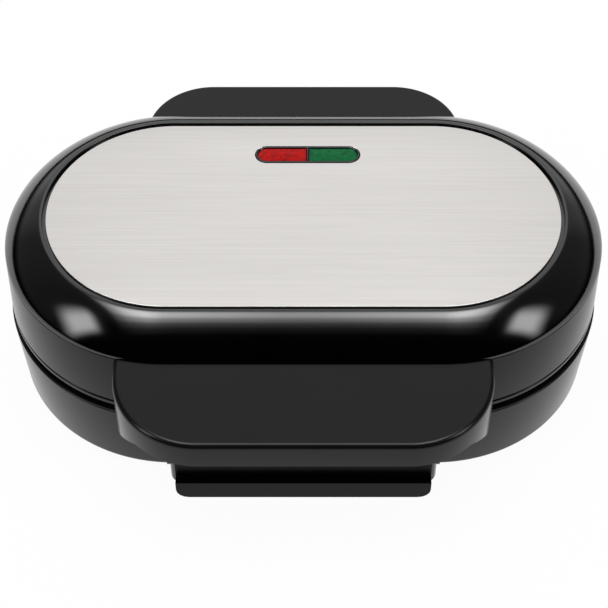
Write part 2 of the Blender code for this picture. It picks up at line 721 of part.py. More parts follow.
def make_base_works():
    """Lower plate, heater, straps, reflector and terminal block."""
    back = LOWER_RIM - PAN_THICKNESS
    pieces = [make_cooking_plate("lower_cooking_plate", LOWER_FLANGE_RADIUS, LOWER_RIM, flipped=False)]
    height = back - FIT - HEATER_RADIUS
    pieces.append(make_heater("lower_heater", height))
    for side, name in ((-1, "left"), (1, "right")):
        pieces.append(make_clamp(f"lower_heater_clamp_{name}", side, height, up=False))
    pieces.append(make_reflector("lower_reflector", back, up=False))
    width, depth, tall = TERMINAL_SIZE
    low = BASE_Z + WALL + FIT
    middle = BODY_Y + TERMINAL_OFFSET_Y
    terminal = block("terminal_block", (-width / 2, middle - depth / 2, low),
                     (width / 2, middle + depth / 2, low + tall))
    for count in range(TERMINAL_HOLES):
        across = width * (2 * count + 1 - TERMINAL_HOLES) / (2 * TERMINAL_HOLES)
        screw = rod(f"terminal_hole_{count}", TERMINAL_HOLE_RADIUS, tall,
                    (across, middle, low + tall), "Z", SMALL_SIDES, cutter=True)
        boolean(terminal, screw, "DIFFERENCE")
    pieces.append(finish(terminal, "ceramic"))
    return pieces


def make_lid_works():
    """Upper plate, heater, straps, reflector, thermostat and thermal fuse."""
    back = UPPER_RIM + PAN_THICKNESS
    pieces = [make_cooking_plate("upper_cooking_plate", UPPER_FLANGE_RADIUS, UPPER_RIM, flipped=True)]
    height = back + FIT + HEATER_RADIUS
    pieces.append(make_heater("upper_heater", height))
    for side, name in ((-1, "left"), (1, "right")):
        pieces.append(make_clamp(f"upper_heater_clamp_{name}", side, height, up=True))
    reflector = make_reflector("upper_reflector", back, up=True)
    hole = rod("thermostat_hole", THERMOSTAT_RADIUS + THERMOSTAT_HOLE_GAP, 4 * DISH_DEPTH,
               (0, BODY_Y, back + DISH_DEPTH), "Z", PIN_SIDES, cutter=True)
    boolean(reflector, hole, "DIFFERENCE")
    pieces += [reflector, make_thermostat(back)]
    top = back + FIT + DISH_DEPTH + DISH_SHEET
    fuse = rod("thermal_fuse", FUSE_RADIUS, FUSE_LENGTH,
               (FUSE_OFFSET_X, BODY_Y, top + FIT + FUSE_RADIUS), "X", SMALL_SIDES,
               edge=FUSE_RADIUS / 3)
    pieces.append(finish(fuse, "ceramic"))
    return pieces


def handle_outline(half_width, reach, corner, inset, back):
    """Plan of a wing with two rounded outer corners, drawn towards +Y."""
    radius = max(corner - inset, FIT)
    wide = half_width - inset
    far = reach - inset
    outline = [(wide, back)]
    outline += arc((wide - radius, far - radius), radius, 0, 90, CORNER_STEPS)
    outline += arc((radius - wide, far - radius), radius, 90, 180, CORNER_STEPS)
    outline += [(-wide, back)]
    return outline


def place_plan(outline, forward):
    """Put a plan round the body's centre, towards the front or the back."""
    side = -1 if forward else 1
    return [(across, BODY_Y + side * along) for across, along in outline]


def housing_cutter(name, high, low, radius_high, radius_low):
    """The body's own outer side, grown by a clearance, to cut what seats against it."""
    profile = [(0, high), (radius_high + FIT, high), (radius_low + FIT, low), (0, low)]
    return oval(name, profile, (0, BODY_Y, 0), closed=False, cutter=True)


def lid_cutter(name):
    """The lid's side as a cutter for the handle and the hinge cover."""
    return housing_cutter(name, PARTING + OVERCUT, UPPER_BOTTOM, UPPER_RADIUS,
                          UPPER_RADIUS + UPPER_FLARE)


def make_handle():
    """Lid's handle: a shell whose skirt drops towards the body, and the plate that closes it."""
    inside_back = UPPER_RADIUS / 2
    plan, hollow_plan, cover_plan = [
        place_plan(handle_outline(HANDLE_HALF_WIDTH, HANDLE_REACH, HANDLE_CORNER, inset, inside_back), True)
        for inset in (0, HANDLE_WALL, HANDLE_WALL + FIT)]
    front = BODY_Y - HANDLE_REACH
    break_y = front + HANDLE_LEVEL_RUN
    root_y = break_y + HANDLE_SLOPE_RUN
    back_y = BODY_Y - inside_back
    under = [(front - OVERCUT, HANDLE_UNDER), (break_y, HANDLE_UNDER),
             (root_y, HANDLE_ROOT), (back_y, HANDLE_ROOT)]
    handle = slab("upper_handle", plan, HANDLE_ROOT - OVERCUT, PARTING)
    bevel_edges(handle, HANDLE_EDGE, segments=2, angle=60)
    low = HANDLE_ROOT - 2 * OVERCUT
    side = [(front - OVERCUT, low)] + under + [(back_y + OVERCUT, HANDLE_ROOT), (back_y + OVERCUT, low)]
    below = slab("below_handle", side, -HANDLE_REACH, HANDLE_REACH, turn="side", cutter=True)
    boolean(handle, below, "DIFFERENCE")
    hollow = slab("handle_hollow", hollow_plan, low, PARTING - HANDLE_WALL, cutter=True)
    boolean(handle, hollow, "DIFFERENCE")
    body = lid_cutter("lid_side")
    boolean(handle, body, "DIFFERENCE")
    cover = make_underside(cover_plan, under, body)
    return [finish(handle, "satin_black"), finish(cover, "satin_black")]


def make_underside(plan, under, body):
    """Plate that closes the handle from below, with the two lugs that hold the clip's rod.

    Over the slope the plate is lifted by its thickness over the slope's cosine, and the corner
    moves along so that both faces stay parallel.
    """
    fall = under[1][1] - under[2][1]
    run = under[2][0] - under[1][0]
    lift = math.hypot(run, fall) / run
    above = [(y, z + UNDERSIDE_SHEET * (lift if z < HANDLE_UNDER else 1)) for y, z in under]
    shift = UNDERSIDE_SHEET * (lift - 1) * run / fall
    above[1] = (under[1][0] + shift, above[1][1])
    cover = slab("handle_underside", under + above[::-1], -HANDLE_HALF_WIDTH, HANDLE_HALF_WIDTH,
                 turn="side")
    inside = slab("underside_plan", plan, HANDLE_ROOT - OVERCUT, PARTING, cutter=True)
    boolean(cover, inside, "INTERSECT")
    boolean(cover, body, "DIFFERENCE")
    radius = CLIP_BARREL_RADIUS
    for side in (-1, 1):
        near = side * (CLIP_HALF_WIDTH + FIT)
        far = near + side * CLIP_LUG_WIDTH
        outline = arc((CLIP_PIVOT_Y, CLIP_PIVOT_Z), radius, 180, 360, CORNER_STEPS)
        root = HANDLE_UNDER + UNDERSIDE_SHEET / 2
        outline += [(CLIP_PIVOT_Y + radius, root), (CLIP_PIVOT_Y - radius, root)]
        lug = slab(f"clip_lug_{side}", outline, min(near, far), max(near, far), turn="side", cutter=True)
        boolean(cover, lug, "UNION")
    length = 2 * (CLIP_HALF_WIDTH + FIT + CLIP_LUG_WIDTH) + 2 * OVERCUT
    bore = rod("clip_lug_bore", bore_radius(CLIP_ROD_RADIUS, PIN_SIDES), length,
               (0, CLIP_PIVOT_Y, CLIP_PIVOT_Z), "X", cutter=True)
    boolean(cover, bore, "DIFFERENCE")
    return cover


def make_clip():
    """Full-width locking clip: barrel, web, finger bar and the tooth that enters the keeper."""
    front = BODY_Y - CLIP_REACH
    web_front = front + CLIP_WEB_FRONT
    web_back = web_front + CLIP_WEB
    tall = CLIP_PIVOT_Z - CLIP_BOTTOM
    wide = CLIP_HALF_WIDTH
    clip = block("latch_clip", (-wide, web_front, CLIP_BOTTOM), (wide, web_back, CLIP_PIVOT_Z))
    bar = block("clip_bar", (-wide, front, CLIP_BOTTOM),
                (wide, web_front + CLIP_WEB / 2, CLIP_BOTTOM + CLIP_BAR_HEIGHT), cutter=True)
    boolean(clip, bar, "UNION")
    corner = CLIP_CORNER
    face = arc((corner - wide, CLIP_BOTTOM + corner), corner, 180, 270, FILLET_STEPS)
    face += arc((wide - corner, CLIP_BOTTOM + corner), corner, 270, 360, FILLET_STEPS)
    face += [(wide, CLIP_PIVOT_Z + tall), (-wide, CLIP_PIVOT_Z + tall)]
    trim = slab("clip_face", face, -web_back - TOOTH_LENGTH, -front + OVERCUT, turn="front", cutter=True)
    boolean(clip, trim, "INTERSECT")
    barrel = rod("clip_barrel", CLIP_BARREL_RADIUS, 2 * wide, (0, CLIP_PIVOT_Y, CLIP_PIVOT_Z), "X",
                 cutter=True)
    boolean(clip, barrel, "UNION")
    sill = CLIP_BOTTOM + EDGE_ROUND
    tooth = block("clip_tooth", (-TOOTH_HALF_WIDTH, web_back - CLIP_WEB / 2, sill),
                  (TOOTH_HALF_WIDTH, web_back + TOOTH_LENGTH, sill + TOOTH_HEIGHT), cutter=True)
    boolean(clip, tooth, "UNION")
    bore = rod("clip_bore", bore_radius(CLIP_ROD_RADIUS, PIN_SIDES), 2 * wide + 2 * OVERCUT,
               (0, CLIP_PIVOT_Y, CLIP_PIVOT_Z), "X", cutter=True)
    boolean(clip, bore, "DIFFERENCE")
    length = 2 * (wide + FIT + CLIP_LUG_WIDTH)
    pin = rod("latch_rod", CLIP_ROD_RADIUS, length, (0, CLIP_PIVOT_Y, CLIP_PIVOT_Z), "X")
    return finish(clip, "gloss_black"), finish(pin, "plain_steel")


def make_grip():
    """Base's handle: a shell open below, with the clip's keeper window in its front."""
    inside_back = LOWER_RADIUS / 2
    plan, hollow_plan = [
        place_plan(handle_outline(GRIP_HALF_WIDTH, GRIP_REACH, GRIP_CORNER, inset, inside_back), True)
        for inset in (0, GRIP_WALL)]
    grip = slab("lower_handle", plan, GRIP_BOTTOM, GRIP_TOP)
    hollow = slab("grip_hollow", hollow_plan, GRIP_BOTTOM - OVERCUT, GRIP_TOP - GRIP_WALL, cutter=True)
    boolean(grip, hollow, "DIFFERENCE")
    body = housing_cutter("base_side", LOWER_TOP, BASE_Z, LOWER_RADIUS, LOWER_RADIUS - LOWER_TAPER)
    boolean(grip, body, "DIFFERENCE")
    sill = GRIP_BOTTOM + KEEPER_SILL
    front = BODY_Y - GRIP_REACH
    keeper = block("keeper_window", (-KEEPER_HALF_WIDTH, front - OVERCUT, sill),
                   (KEEPER_HALF_WIDTH, front + GRIP_WALL + OVERCUT, sill + KEEPER_HEIGHT), cutter=True)
    boolean(grip, keeper, "DIFFERENCE")
    return finish(grip, "satin_black"), body


def knuckle(name, low, high, outline, cutter=True):
    """A hinge ear or lug: a side outline run between two places across the body."""
    return slab(name, outline, min(low, high), max(low, high), turn="side", cutter=cutter)


def make_hinge_cover():
    """Back wing of the lid: a shell open below, with a pair of ears for each hinge pin."""
    inside_back = UPPER_RADIUS / 2
    plan, hollow_plan = [
        place_plan(handle_outline(WING_HALF_WIDTH, WING_REACH, WING_CORNER, inset, inside_back), False)
        for inset in (0, WING_WALL)]
    wing = slab("hinge_cover", plan, SKIRT_BOTTOM, PARTING)
    bevel_edges(wing, HANDLE_EDGE, segments=2, angle=60)
    hollow = slab("wing_hollow", hollow_plan, SKIRT_BOTTOM - OVERCUT, PARTING - WING_WALL, cutter=True)
    boolean(wing, hollow, "DIFFERENCE")
    radius = HINGE_EAR_RADIUS
    roof = PARTING - WING_WALL / 2
    outline = arc((HINGE_Y, HINGE_Z), radius, 180, 360, CORNER_STEPS)
    outline += [(HINGE_Y + EAR_ROOT_BACK, roof), (HINGE_Y - EAR_ROOT_FRONT, roof)]
    half = HINGE_LUG_WIDTH / 2 + FIT
    for side in (-1, 1):
        for end in (-1, 1):
            near = side * HINGE_SPACING + end * half
            ear = knuckle(f"ear_{side}_{end}", near, near + end * HINGE_EAR_WIDTH, outline)
            boolean(wing, ear, "UNION")
    body = lid_cutter("lid_back")
    boolean(wing, body, "DIFFERENCE")
    for side in (-1, 1):
        boolean(wing, hinge_bore(f"ear_bore_{side}", side), "DIFFERENCE")
    return finish(wing, "satin_black")


def hinge_bore(name, side):
    """Bore through the ears or the lug on one side of the hinge."""
    return rod(name, bore_radius(HINGE_PIN_RADIUS, PIN_SIDES), PIN_LENGTH + 2 * OVERCUT,
               (side * HINGE_SPACING, HINGE_Y, HINGE_Z), "X", cutter=True)


def gland_z():
    """Height of the cord gland's axis."""
    return BASE_Z + GLAND_HEIGHT


def make_hinge_block(body):
    """Block at the back of the base, with a lug for each hinge pin and the gland's hole."""
    back = HINGE_Y + BLOCK_BEHIND_PIN
    reach = back - BODY_Y
    plan = place_plan(handle_outline(BLOCK_HALF_WIDTH, reach, BLOCK_CORNER, 0, LOWER_RADIUS / 2), False)
    base = slab("hinge_block", plan, BASE_Z, BLOCK_TOP)
    radius = HINGE_EAR_RADIUS
    root = BLOCK_TOP - WALL
    outline = [(HINGE_Y - LUG_ROOT_FRONT, root), (back, root)]
    outline += arc((HINGE_Y, HINGE_Z), radius, -30, 180, CORNER_STEPS)
    for side in (-1, 1):
        middle = side * HINGE_SPACING
        lug = knuckle(f"lug_{side}", middle - HINGE_LUG_WIDTH / 2, middle + HINGE_LUG_WIDTH / 2, outline)
        boolean(base, lug, "UNION")
        boolean(base, hinge_bore(f"lug_bore_{side}", side), "DIFFERENCE")
    boolean(base, body, "DIFFERENCE")
    hole = rod("gland_hole", GLAND_RADIUS + FIT, 4 * HINGE_SETBACK, (0, HINGE_Y, gland_z()), "Y",
               GLAND_SIDES, cutter=True)
    boolean(base, hole, "DIFFERENCE")
    return finish(base, "satin_black")


def make_gland():
    """Bushing that the mains lead leaves by: a sleeve in the block and a flange outside it."""
    face = HINGE_Y + BLOCK_BEHIND_PIN
    bm = bmesh.new()
    low = -GLAND_DEPTH
    high = FIT + GLAND_FLANGE
    profile = [(GLAND_BORE, high), (GLAND_FLANGE_RADIUS - EDGE_ROUND, high),
               (GLAND_FLANGE_RADIUS, high - EDGE_ROUND), (GLAND_FLANGE_RADIUS, FIT),
               (GLAND_RADIUS, FIT), (GLAND_RADIUS, low), (GLAND_BORE, low)]
    points = [bm.verts.new((across, 0, up)) for across, up in profile]
    edges = [bm.edges.new(pair) for pair in zip(points, points[1:] + points[:1])]
    bmesh.ops.spin(bm, geom=points + edges, cent=(0, 0, 0), axis=(0, 0, 1), angle=2 * math.pi,
                   steps=GLAND_SIDES)
    bmesh.ops.remove_doubles(bm, verts=bm.verts, dist=MERGE)
    gland = add_object("cord_gland", bm)
    gland.location = (0, face, gland_z())
    gland.rotation_euler = (math.radians(-90), 0, 0)
    return finish(gland, "rubber")


def make_feet():
    """Four rubber feet: two under the bowl and two under the hinge block."""
    height = FOOT_HEIGHT - FIT
    places = {
        "foot_front_left": (-FRONT_FOOT_X, BODY_Y - FRONT_FOOT_Y),
        "foot_front_right": (FRONT_FOOT_X, BODY_Y - FRONT_FOOT_Y),
        "foot_rear_left": (-REAR_FOOT_X, REAR_FOOT_Y),
        "foot_rear_right": (REAR_FOOT_X, REAR_FOOT_Y),
    }
    feet = []
    for name, (across, along) in places.items():
        foot = rod(name, FOOT_RADIUS, height, (across, along, height / 2), "Z", FOOT_SIDES, edge=FOOT_EDGE)
        feet.append(finish(foot, "rubber"))
    return feet


def make_hinge_pins():
    """Two steel pins, each through a lug of the base and a pair of the lid's ears."""
    pins = []
    for side, name in ((-1, "hinge_pin_left"), (1, "hinge_pin_right")):
        pin = rod(name, HINGE_PIN_RADIUS, PIN_LENGTH, (side * HINGE_SPACING, HINGE_Y, HINGE_Z), "X")
        pins.append(finish(pin, "plain_steel"))
    return pins


def main():
    """Build the base, the lid and the clip, and hang each on its pivot."""
    base_pivot = make_pivot("base_pivot", Vector((0, BODY_Y, 0)))
    lid_pivot = make_pivot("lid_pivot", Vector((0, HINGE_Y, HINGE_Z)), base_pivot)
    clip_pivot = make_pivot("clip_pivot", Vector((0, CLIP_PIVOT_Y, CLIP_PIVOT_Z)), lid_pivot)
    grip, base_side = make_grip()
    base = [make_lower_housing(), grip, make_hinge_block(base_side), make_gland()]
    base += make_base_works() + make_feet() + make_hinge_pins()
    clip, clip_rod = make_clip()
    lid = [make_top_cover(), make_steel_plate(), make_upper_housing(), make_hinge_cover(), clip_rod]
    lid += make_lamp_window() + make_lamps() + make_handle() + make_lid_works()
    bpy.context.view_layer.update()
    for group, pivot in ((base, base_pivot), (lid, lid_pivot), ([clip], clip_pivot)):
        for piece in group:
            parent_to(piece, pivot)


main()
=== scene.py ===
# %% [markdown]
# # A countertop sandwich maker
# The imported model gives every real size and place, and this script gives the surfaces and the
# finishes. The lid and the base are ovals: a straight run with a half circle at each end. So most
# of the shapes here are a profile carried round that oval.

# %% Load the frame
import json
import math

import bmesh
import bpy
import numpy as np
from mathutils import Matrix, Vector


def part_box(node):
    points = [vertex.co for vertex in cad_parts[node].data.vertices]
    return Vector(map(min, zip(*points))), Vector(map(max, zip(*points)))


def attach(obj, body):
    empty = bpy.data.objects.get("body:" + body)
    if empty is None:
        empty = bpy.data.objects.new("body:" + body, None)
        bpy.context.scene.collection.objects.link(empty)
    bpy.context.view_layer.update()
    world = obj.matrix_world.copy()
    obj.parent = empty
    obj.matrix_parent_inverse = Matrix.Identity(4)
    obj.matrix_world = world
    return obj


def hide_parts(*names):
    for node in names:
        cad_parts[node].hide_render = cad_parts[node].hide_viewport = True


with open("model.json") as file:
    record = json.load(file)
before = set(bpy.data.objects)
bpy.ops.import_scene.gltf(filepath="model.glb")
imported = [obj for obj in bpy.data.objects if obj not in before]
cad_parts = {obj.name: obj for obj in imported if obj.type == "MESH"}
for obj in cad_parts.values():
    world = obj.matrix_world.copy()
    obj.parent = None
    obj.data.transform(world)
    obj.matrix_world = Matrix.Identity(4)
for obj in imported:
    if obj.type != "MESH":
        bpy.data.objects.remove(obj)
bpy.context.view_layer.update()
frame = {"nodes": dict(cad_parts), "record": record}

scene = bpy.context.scene
scene.view_settings.view_transform = "Standard"

# %% [markdown]
# ## Sizes from the frame
# Nothing is typed twice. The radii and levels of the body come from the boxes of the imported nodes,
# so the surfaces follow the solids when a size changes.

# %% Measure the body
plate_low, plate_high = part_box("steel_plate")
cover_low, cover_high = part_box("top_cover")
side_low, side_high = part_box("upper_housing")
bowl_low, bowl_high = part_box("lower_housing")
handle_low, handle_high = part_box("upper_handle")
wing_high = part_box("hinge_cover")[1]

PLATE_RADIUS = (plate_high.y - plate_low.y) / 2
PLATE_SPINE = (plate_high.x - plate_low.x) / 2 - PLATE_RADIUS
BODY_Y = (plate_high.y + plate_low.y) / 2
PLATE_TOP = plate_high.z
PLATE_UNDER = plate_low.z
LIP_TOP = cover_high.z
LID_RADIUS = (cover_high.y - cover_low.y) / 2
PARTING = handle_high.z
LID_FOOT = side_low.z
FLARE_RADIUS = (side_high.y - side_low.y) / 2
BASE_TOP = bowl_high.z
BASE_FLOOR = bowl_low.z
BASE_RADIUS = (bowl_high.y - bowl_low.y) / 2
SPINE = (bowl_high.x - bowl_low.x) / 2 - BASE_RADIUS
DRAW_IN = SPINE - PLATE_SPINE
FIT = 0.0003
print("plate radius", round(PLATE_RADIUS, 4), "its spine", round(PLATE_SPINE, 4))
print("body radius", round(BASE_RADIUS, 4), "its spine", round(SPINE, 4), "middle y", round(BODY_Y, 5))

# %% [markdown]
# ## Surfaces on grids
# A surface is a grid of points: one direction runs round the oval, and the other runs along the
# profile. numpy works out all the points at once, and one function turns any such grid into a
# mesh, closes its ends and makes its faces point outwards.

# %% Grids to meshes
MERGE = 0.000002
SHARP_DEG = 35.0


def settle(bm):
    """Merge points that coincide, fill what is open and turn every face outwards."""
    bmesh.ops.remove_doubles(bm, verts=bm.verts, dist=MERGE)
    bmesh.ops.dissolve_degenerate(bm, edges=bm.edges, dist=MERGE)
    bmesh.ops.holes_fill(bm, edges=bm.edges, sides=0)
    bmesh.ops.recalc_face_normals(bm, faces=bm.faces)


def grid_faces(rows, columns, wrap_rows, wrap_columns):
    """Corner numbers of the quads between neighbouring rows and columns of a grid."""
    row = np.arange(rows if wrap_rows else rows - 1)[:, None]
    column = np.arange(columns if wrap_columns else columns - 1)[None, :]
    next_row = (row + 1) % rows
    next_column = (column + 1) % columns
    corners = [row * columns + column, row * columns + next_column,
               next_row * columns + next_column, next_row * columns + column]
    return np.stack(np.broadcast_arrays(*corners), axis=-1).reshape(-1, 4)


def add_piece(name, bm, body):
    """Link a mesh as a smooth-shaded piece that rides on a body."""
    mesh = bpy.data.meshes.new(name)
    bm.to_mesh(mesh)
    bm.free()
    mesh.shade_smooth()
    mesh.set_sharp_from_angle(angle=math.radians(SHARP_DEG))
    piece = bpy.data.objects.new(name, mesh)
    scene.collection.objects.link(piece)
    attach(piece, body)
    return piece


def loft(name, rings, body, wrap_rows=True, wrap_columns=True):
    """Join each ring of points to the next: rings[k, n] to its neighbours k + 1 and n + 1."""
    rings = np.asarray(rings)
    rows, columns = rings.shape[:2]
    mesh = bpy.data.meshes.new(name + "_grid")
    mesh.from_pydata(rings.reshape(-1, 3), [], grid_faces(rows, columns, wrap_rows, wrap_columns))
    bm = bmesh.new()
    bm.from_mesh(mesh)
    bpy.data.meshes.remove(mesh)
    settle(bm)
    return add_piece(name, bm, body)


# %% [markdown]
# ## The oval
# The oval has a spine, a straight run, and each point of its outline lies at one distance from
# the spine. Rings of different radii share their normals, so they nest without crossing.

# %% Oval rings
END_POINTS = 97
RUN_POINTS = 24


def oval_rings(profile, spine=SPINE, middle=(0.0, BODY_Y)):
    """Carry (radius, height) points round an oval.

    A point is spine + radius * normal. Round each end the normal turns by half a circle, and
    along each side the spine point moves while the normal stays. The spine's half length is one
    number, or one for each profile point.
    """
    turn = np.linspace(-math.pi / 2, math.pi / 2, END_POINTS)
    run = np.linspace(1, -1, RUN_POINTS + 2)[1:-1]
    angle = np.concatenate([turn, np.full(RUN_POINTS, math.pi / 2), turn + math.pi,
                            np.full(RUN_POINTS, 1.5 * math.pi)])
    share = np.concatenate([np.ones(END_POINTS), run, -np.ones(END_POINTS), -run])
    radius, height = np.asarray(profile, float).T
    along = np.broadcast_to(spine, radius.shape)[:, None] * share[None, :]
    x = middle[0] + along + radius[:, None] * np.cos(angle)[None, :]
    y = middle[1] + radius[:, None] * np.sin(angle)[None, :]
    z = np.broadcast_to(height[:, None], x.shape)
    return np.stack([x, y, z], axis=-1)


def rounded(points, radii, steps=6):
    """A polygon's corners (across, up), each turned into an arc of its own radius.

    The arc touches both sides at radius / tan(half the corner's angle) from the corner.
    """
    points = [np.asarray(point, float) for point in points]
    result = []
    for before, corner, after, radius in zip(points[-1:] + points[:-1], points,
                                             points[1:] + points[:1], radii):
        if radius == 0:
            result.append(corner)
            continue
        back = (before - corner) / np.linalg.norm(before - corner)
        ahead = (after - corner) / np.linalg.norm(after - corner)
        half = math.acos(np.clip(back @ ahead, -1, 1)) / 2
        centre = corner + (back + ahead) / np.linalg.norm(back + ahead) * radius / math.sin(half)
        start = corner + back * radius / math.tan(half) - centre
        end = corner + ahead * radius / math.tan(half) - centre
        first = math.atan2(start[1], start[0])
        sweep = (math.atan2(end[1], end[0]) - first + math.pi) % (2 * math.pi) - math.pi
        angles = first + sweep * np.linspace(0, 1, steps + 1)
        result += list(centre + radius * np.stack([np.cos(angles), np.sin(angles)], axis=1))
    return np.array(result)


# %% [markdown]
# ## Shader sums
# A finish is a few sums on noise and coordinates. This small class wraps a socket, so that a sum
# reads as a sum. Everything else comes from one method that takes a node's type, its settings
# and what goes into its sockets.

# %% Shader helpers
class Value:
    """A number in a shader. Each operator adds a Math node."""

    def __init__(self, finish, socket):
        self.finish = finish
        self.socket = socket

    def math(self, operation, *terms):
        return self.finish.node("ShaderNodeMath", {"operation": operation}, dict(enumerate(terms)))

    def __add__(self, other):
        return self.math("ADD", self, other)

    def __sub__(self, other):
        return self.math("SUBTRACT", self, other)

    def __mul__(self, other):
        return self.math("MULTIPLY", self, other)

    __radd__ = __add__

    def step(self, low, high):
        """0 below low, 1 above high, and a smooth ramp between them."""
        return self.finish.node("ShaderNodeMapRange", {"interpolation_type": "SMOOTHSTEP"},
                                {0: self, 1: low, 2: high, 3: 0.0, 4: 1.0})


class Finish:
    """A material on one Principled shader, with nodes added by one method."""

    def __init__(self, name, colour, roughness, metallic=0.0, **constants):
        self.material = bpy.data.materials.new(name)
        self.material.use_nodes = True
        self.tree = self.material.node_tree
        self.shader = self.tree.nodes["Principled BSDF"]
        self.set("Base Color", (*colour, 1.0))
        self.set("Roughness", roughness)
        self.set("Metallic", metallic)
        for socket, value in constants.items():
            self.set(socket.replace("_", " "), value)

    def set(self, socket, value):
        """Put a number, a colour or a link into a socket of the Principled shader."""
        self.join(self.shader.inputs[socket], value)

    def join(self, socket, value):
        if isinstance(value, Value):
            self.tree.links.new(value.socket, socket)
        else:
            socket.default_value = value

    def node(self, kind, settings=None, inputs=None, output=0):
        """Add a node: its settings first, then the values or links of its sockets."""
        made = self.tree.nodes.new(kind)
        for name, value in (settings or {}).items():
            setattr(made, name, value)
        for key, value in (inputs or {}).items():
            self.join(made.inputs[key], value)
        return Value(self, made.outputs[output])

    def place(self, scale=(1, 1, 1)):
        """Object coordinates, each times its own scale."""
        where = self.node("ShaderNodeTexCoord", output="Object")
        return self.node("ShaderNodeMapping", {}, {"Vector": where, "Scale": scale})

    def noise(self, where, scale, detail=3.0, rough=0.5):
        return self.node("ShaderNodeTexNoise", {}, {"Vector": where, "Scale": scale,
                                                    "Detail": detail, "Roughness": rough})

    def mix(self, factor, first, second):
        """A colour between two colours."""
        return self.node("ShaderNodeMix", {"data_type": "RGBA"}, {0: factor, 6: first, 7: second}, 2)

    def axis(self, where, name):
        return self.node("ShaderNodeSeparateXYZ", {}, {0: where}, name)

    def bump(self, height, strength, distance):
        """Tilt the surface's normal by a height in metres."""
        self.set("Normal", self.node("ShaderNodeBump", {}, {"Height": height, "Strength": strength,
                                                             "Distance": distance}, "Normal"))


def paint(piece, finish):
    """Put one finish on a piece."""
    piece.data.materials.clear()
    piece.data.materials.append(finish.material)
    return piece


# %% [markdown]
# ## Finishes
# The lid's cover is gloss moulding, nearly a mirror, with a faint waviness that breaks up long
# reflections. The rest of the plastic is satin: a fine spark-eroded grain, drawn as small noise in
# the roughness and the bump. Black plastic has hardly any colour of its own, so its base colour is
# close to zero, and Specular IOR Level sets how strong its mirror image is.

# %% Gloss and satin plastic
def gloss_black():
    """Polished black moulding: slow noise, about a tenth of a mm high, bends the reflections."""
    finish = Finish("gloss_black", (0.0006, 0.0006, 0.0007), 0.10, Specular_IOR_Level=0.8)
    slow = finish.noise(finish.place(), 22.0, 2.0)
    smears = finish.noise(finish.place((1, 1, 0.5)), 60.0, 4.0)
    finish.set("Roughness", 0.08 + smears * 0.05)
    finish.bump(slow, 0.05, 0.002)
    return finish


def satin_black():
    """Spark-eroded black moulding: grain of about 0.3 mm in the bump and the roughness.

    Its pigment is nearly black, so what shows is the weak mirror image of the floor and the room.
    """
    finish = Finish("satin_black", (0.0045, 0.0046, 0.0048), 0.20, Specular_IOR_Level=0.22)
    grain = finish.noise(finish.place(), 2600.0, 3.0, 0.6)
    cloud = finish.noise(finish.place(), 40.0, 3.0)
    finish.set("Base Color", finish.mix(cloud, (0.0038, 0.0039, 0.0041, 1), (0.0052, 0.0053, 0.0056, 1)))
    finish.set("Roughness", 0.16 + grain * 0.06 + cloud * 0.03)
    finish.bump(grain, 0.10, 0.00006)
    return finish


def clip_painted_shade():
    """The satin made blacker and duller for the clip: painted shade, for the shade the clip sits in under
    the handle.
    """
    finish = Finish("clip_painted_shade", (0.0015, 0.0015, 0.0016), 0.34, Specular_IOR_Level=0.10)
    grain = finish.noise(finish.place(), 1400.0, 3.0, 0.6)
    finish.set("Roughness", 0.30 + grain * 0.10)
    finish.bump(grain, 0.20, 0.00006)
    return finish


# %% [markdown]
# The plate on the lid is stainless sheet, brushed along its length. The lines are noise that is
# stretched some hundred times along X. They feed the colour a little, the roughness more, and
# the bump most.

# %% Brushed steel and plain metals
def brushed_steel():
    """Sheet brushed along X: three layers of noise, each drawn out into long lines."""
    finish = Finish("brushed_steel", (0.62, 0.60, 0.58), 0.30, 1.0)
    fine = finish.noise(finish.place((1, 160, 1)), 26.0, 4.0, 0.7)
    middle = finish.noise(finish.place((1, 60, 1)), 14.0, 3.0, 0.6)
    slow = finish.noise(finish.place((1, 3, 1)), 6.0, 2.0)
    lines = fine * 0.55 + middle * 0.45
    tone = lines * 0.75 + slow * 0.25
    finish.set("Base Color", finish.mix(tone.step(0.25, 0.75), (0.59, 0.572, 0.556, 1),
                                        (0.71, 0.692, 0.675, 1)))
    finish.set("Roughness", 0.26 + lines * 0.12)
    finish.bump(lines, 0.20, 0.00006)
    return finish


def plain_steel():
    """Turned or drawn steel with faint marks round it."""
    finish = Finish("plain_steel", (0.45, 0.45, 0.46), 0.32, 1.0)
    marks = finish.noise(finish.place(), 900.0, 3.0)
    finish.set("Roughness", 0.26 + marks * 0.16)
    finish.bump(marks, 0.15, 0.00005)
    return finish


def bright_sheet():
    """Bright aluminium sheet with rolling marks."""
    finish = Finish("bright_sheet", (0.76, 0.76, 0.77), 0.22, 1.0)
    marks = finish.noise(finish.place((1, 30, 1)), 60.0, 3.0)
    finish.set("Roughness", 0.16 + marks * 0.14)
    finish.bump(marks, 0.2, 0.0001)
    return finish


# %% [markdown]
# The cooking plates are cast aluminium under a non-stick coat, which is satin, almost black, and
# full of tiny pale specks.

# %% Coated, ceramic, rubber and glass
def nonstick_black():
    """Sprayed coat: orange peel in the bump and specks where a fine noise peaks."""
    finish = Finish("nonstick_black", (0.012, 0.012, 0.013), 0.36)
    specks = finish.noise(finish.place(), 1500.0, 1.0).step(0.70, 0.78)
    peel = finish.noise(finish.place(), 420.0, 2.0)
    finish.set("Base Color", finish.mix(specks, (0.011, 0.011, 0.012, 1), (0.06, 0.06, 0.062, 1)))
    finish.set("Roughness", 0.28 + peel * 0.16)
    finish.bump(peel, 0.3, 0.0001)
    return finish


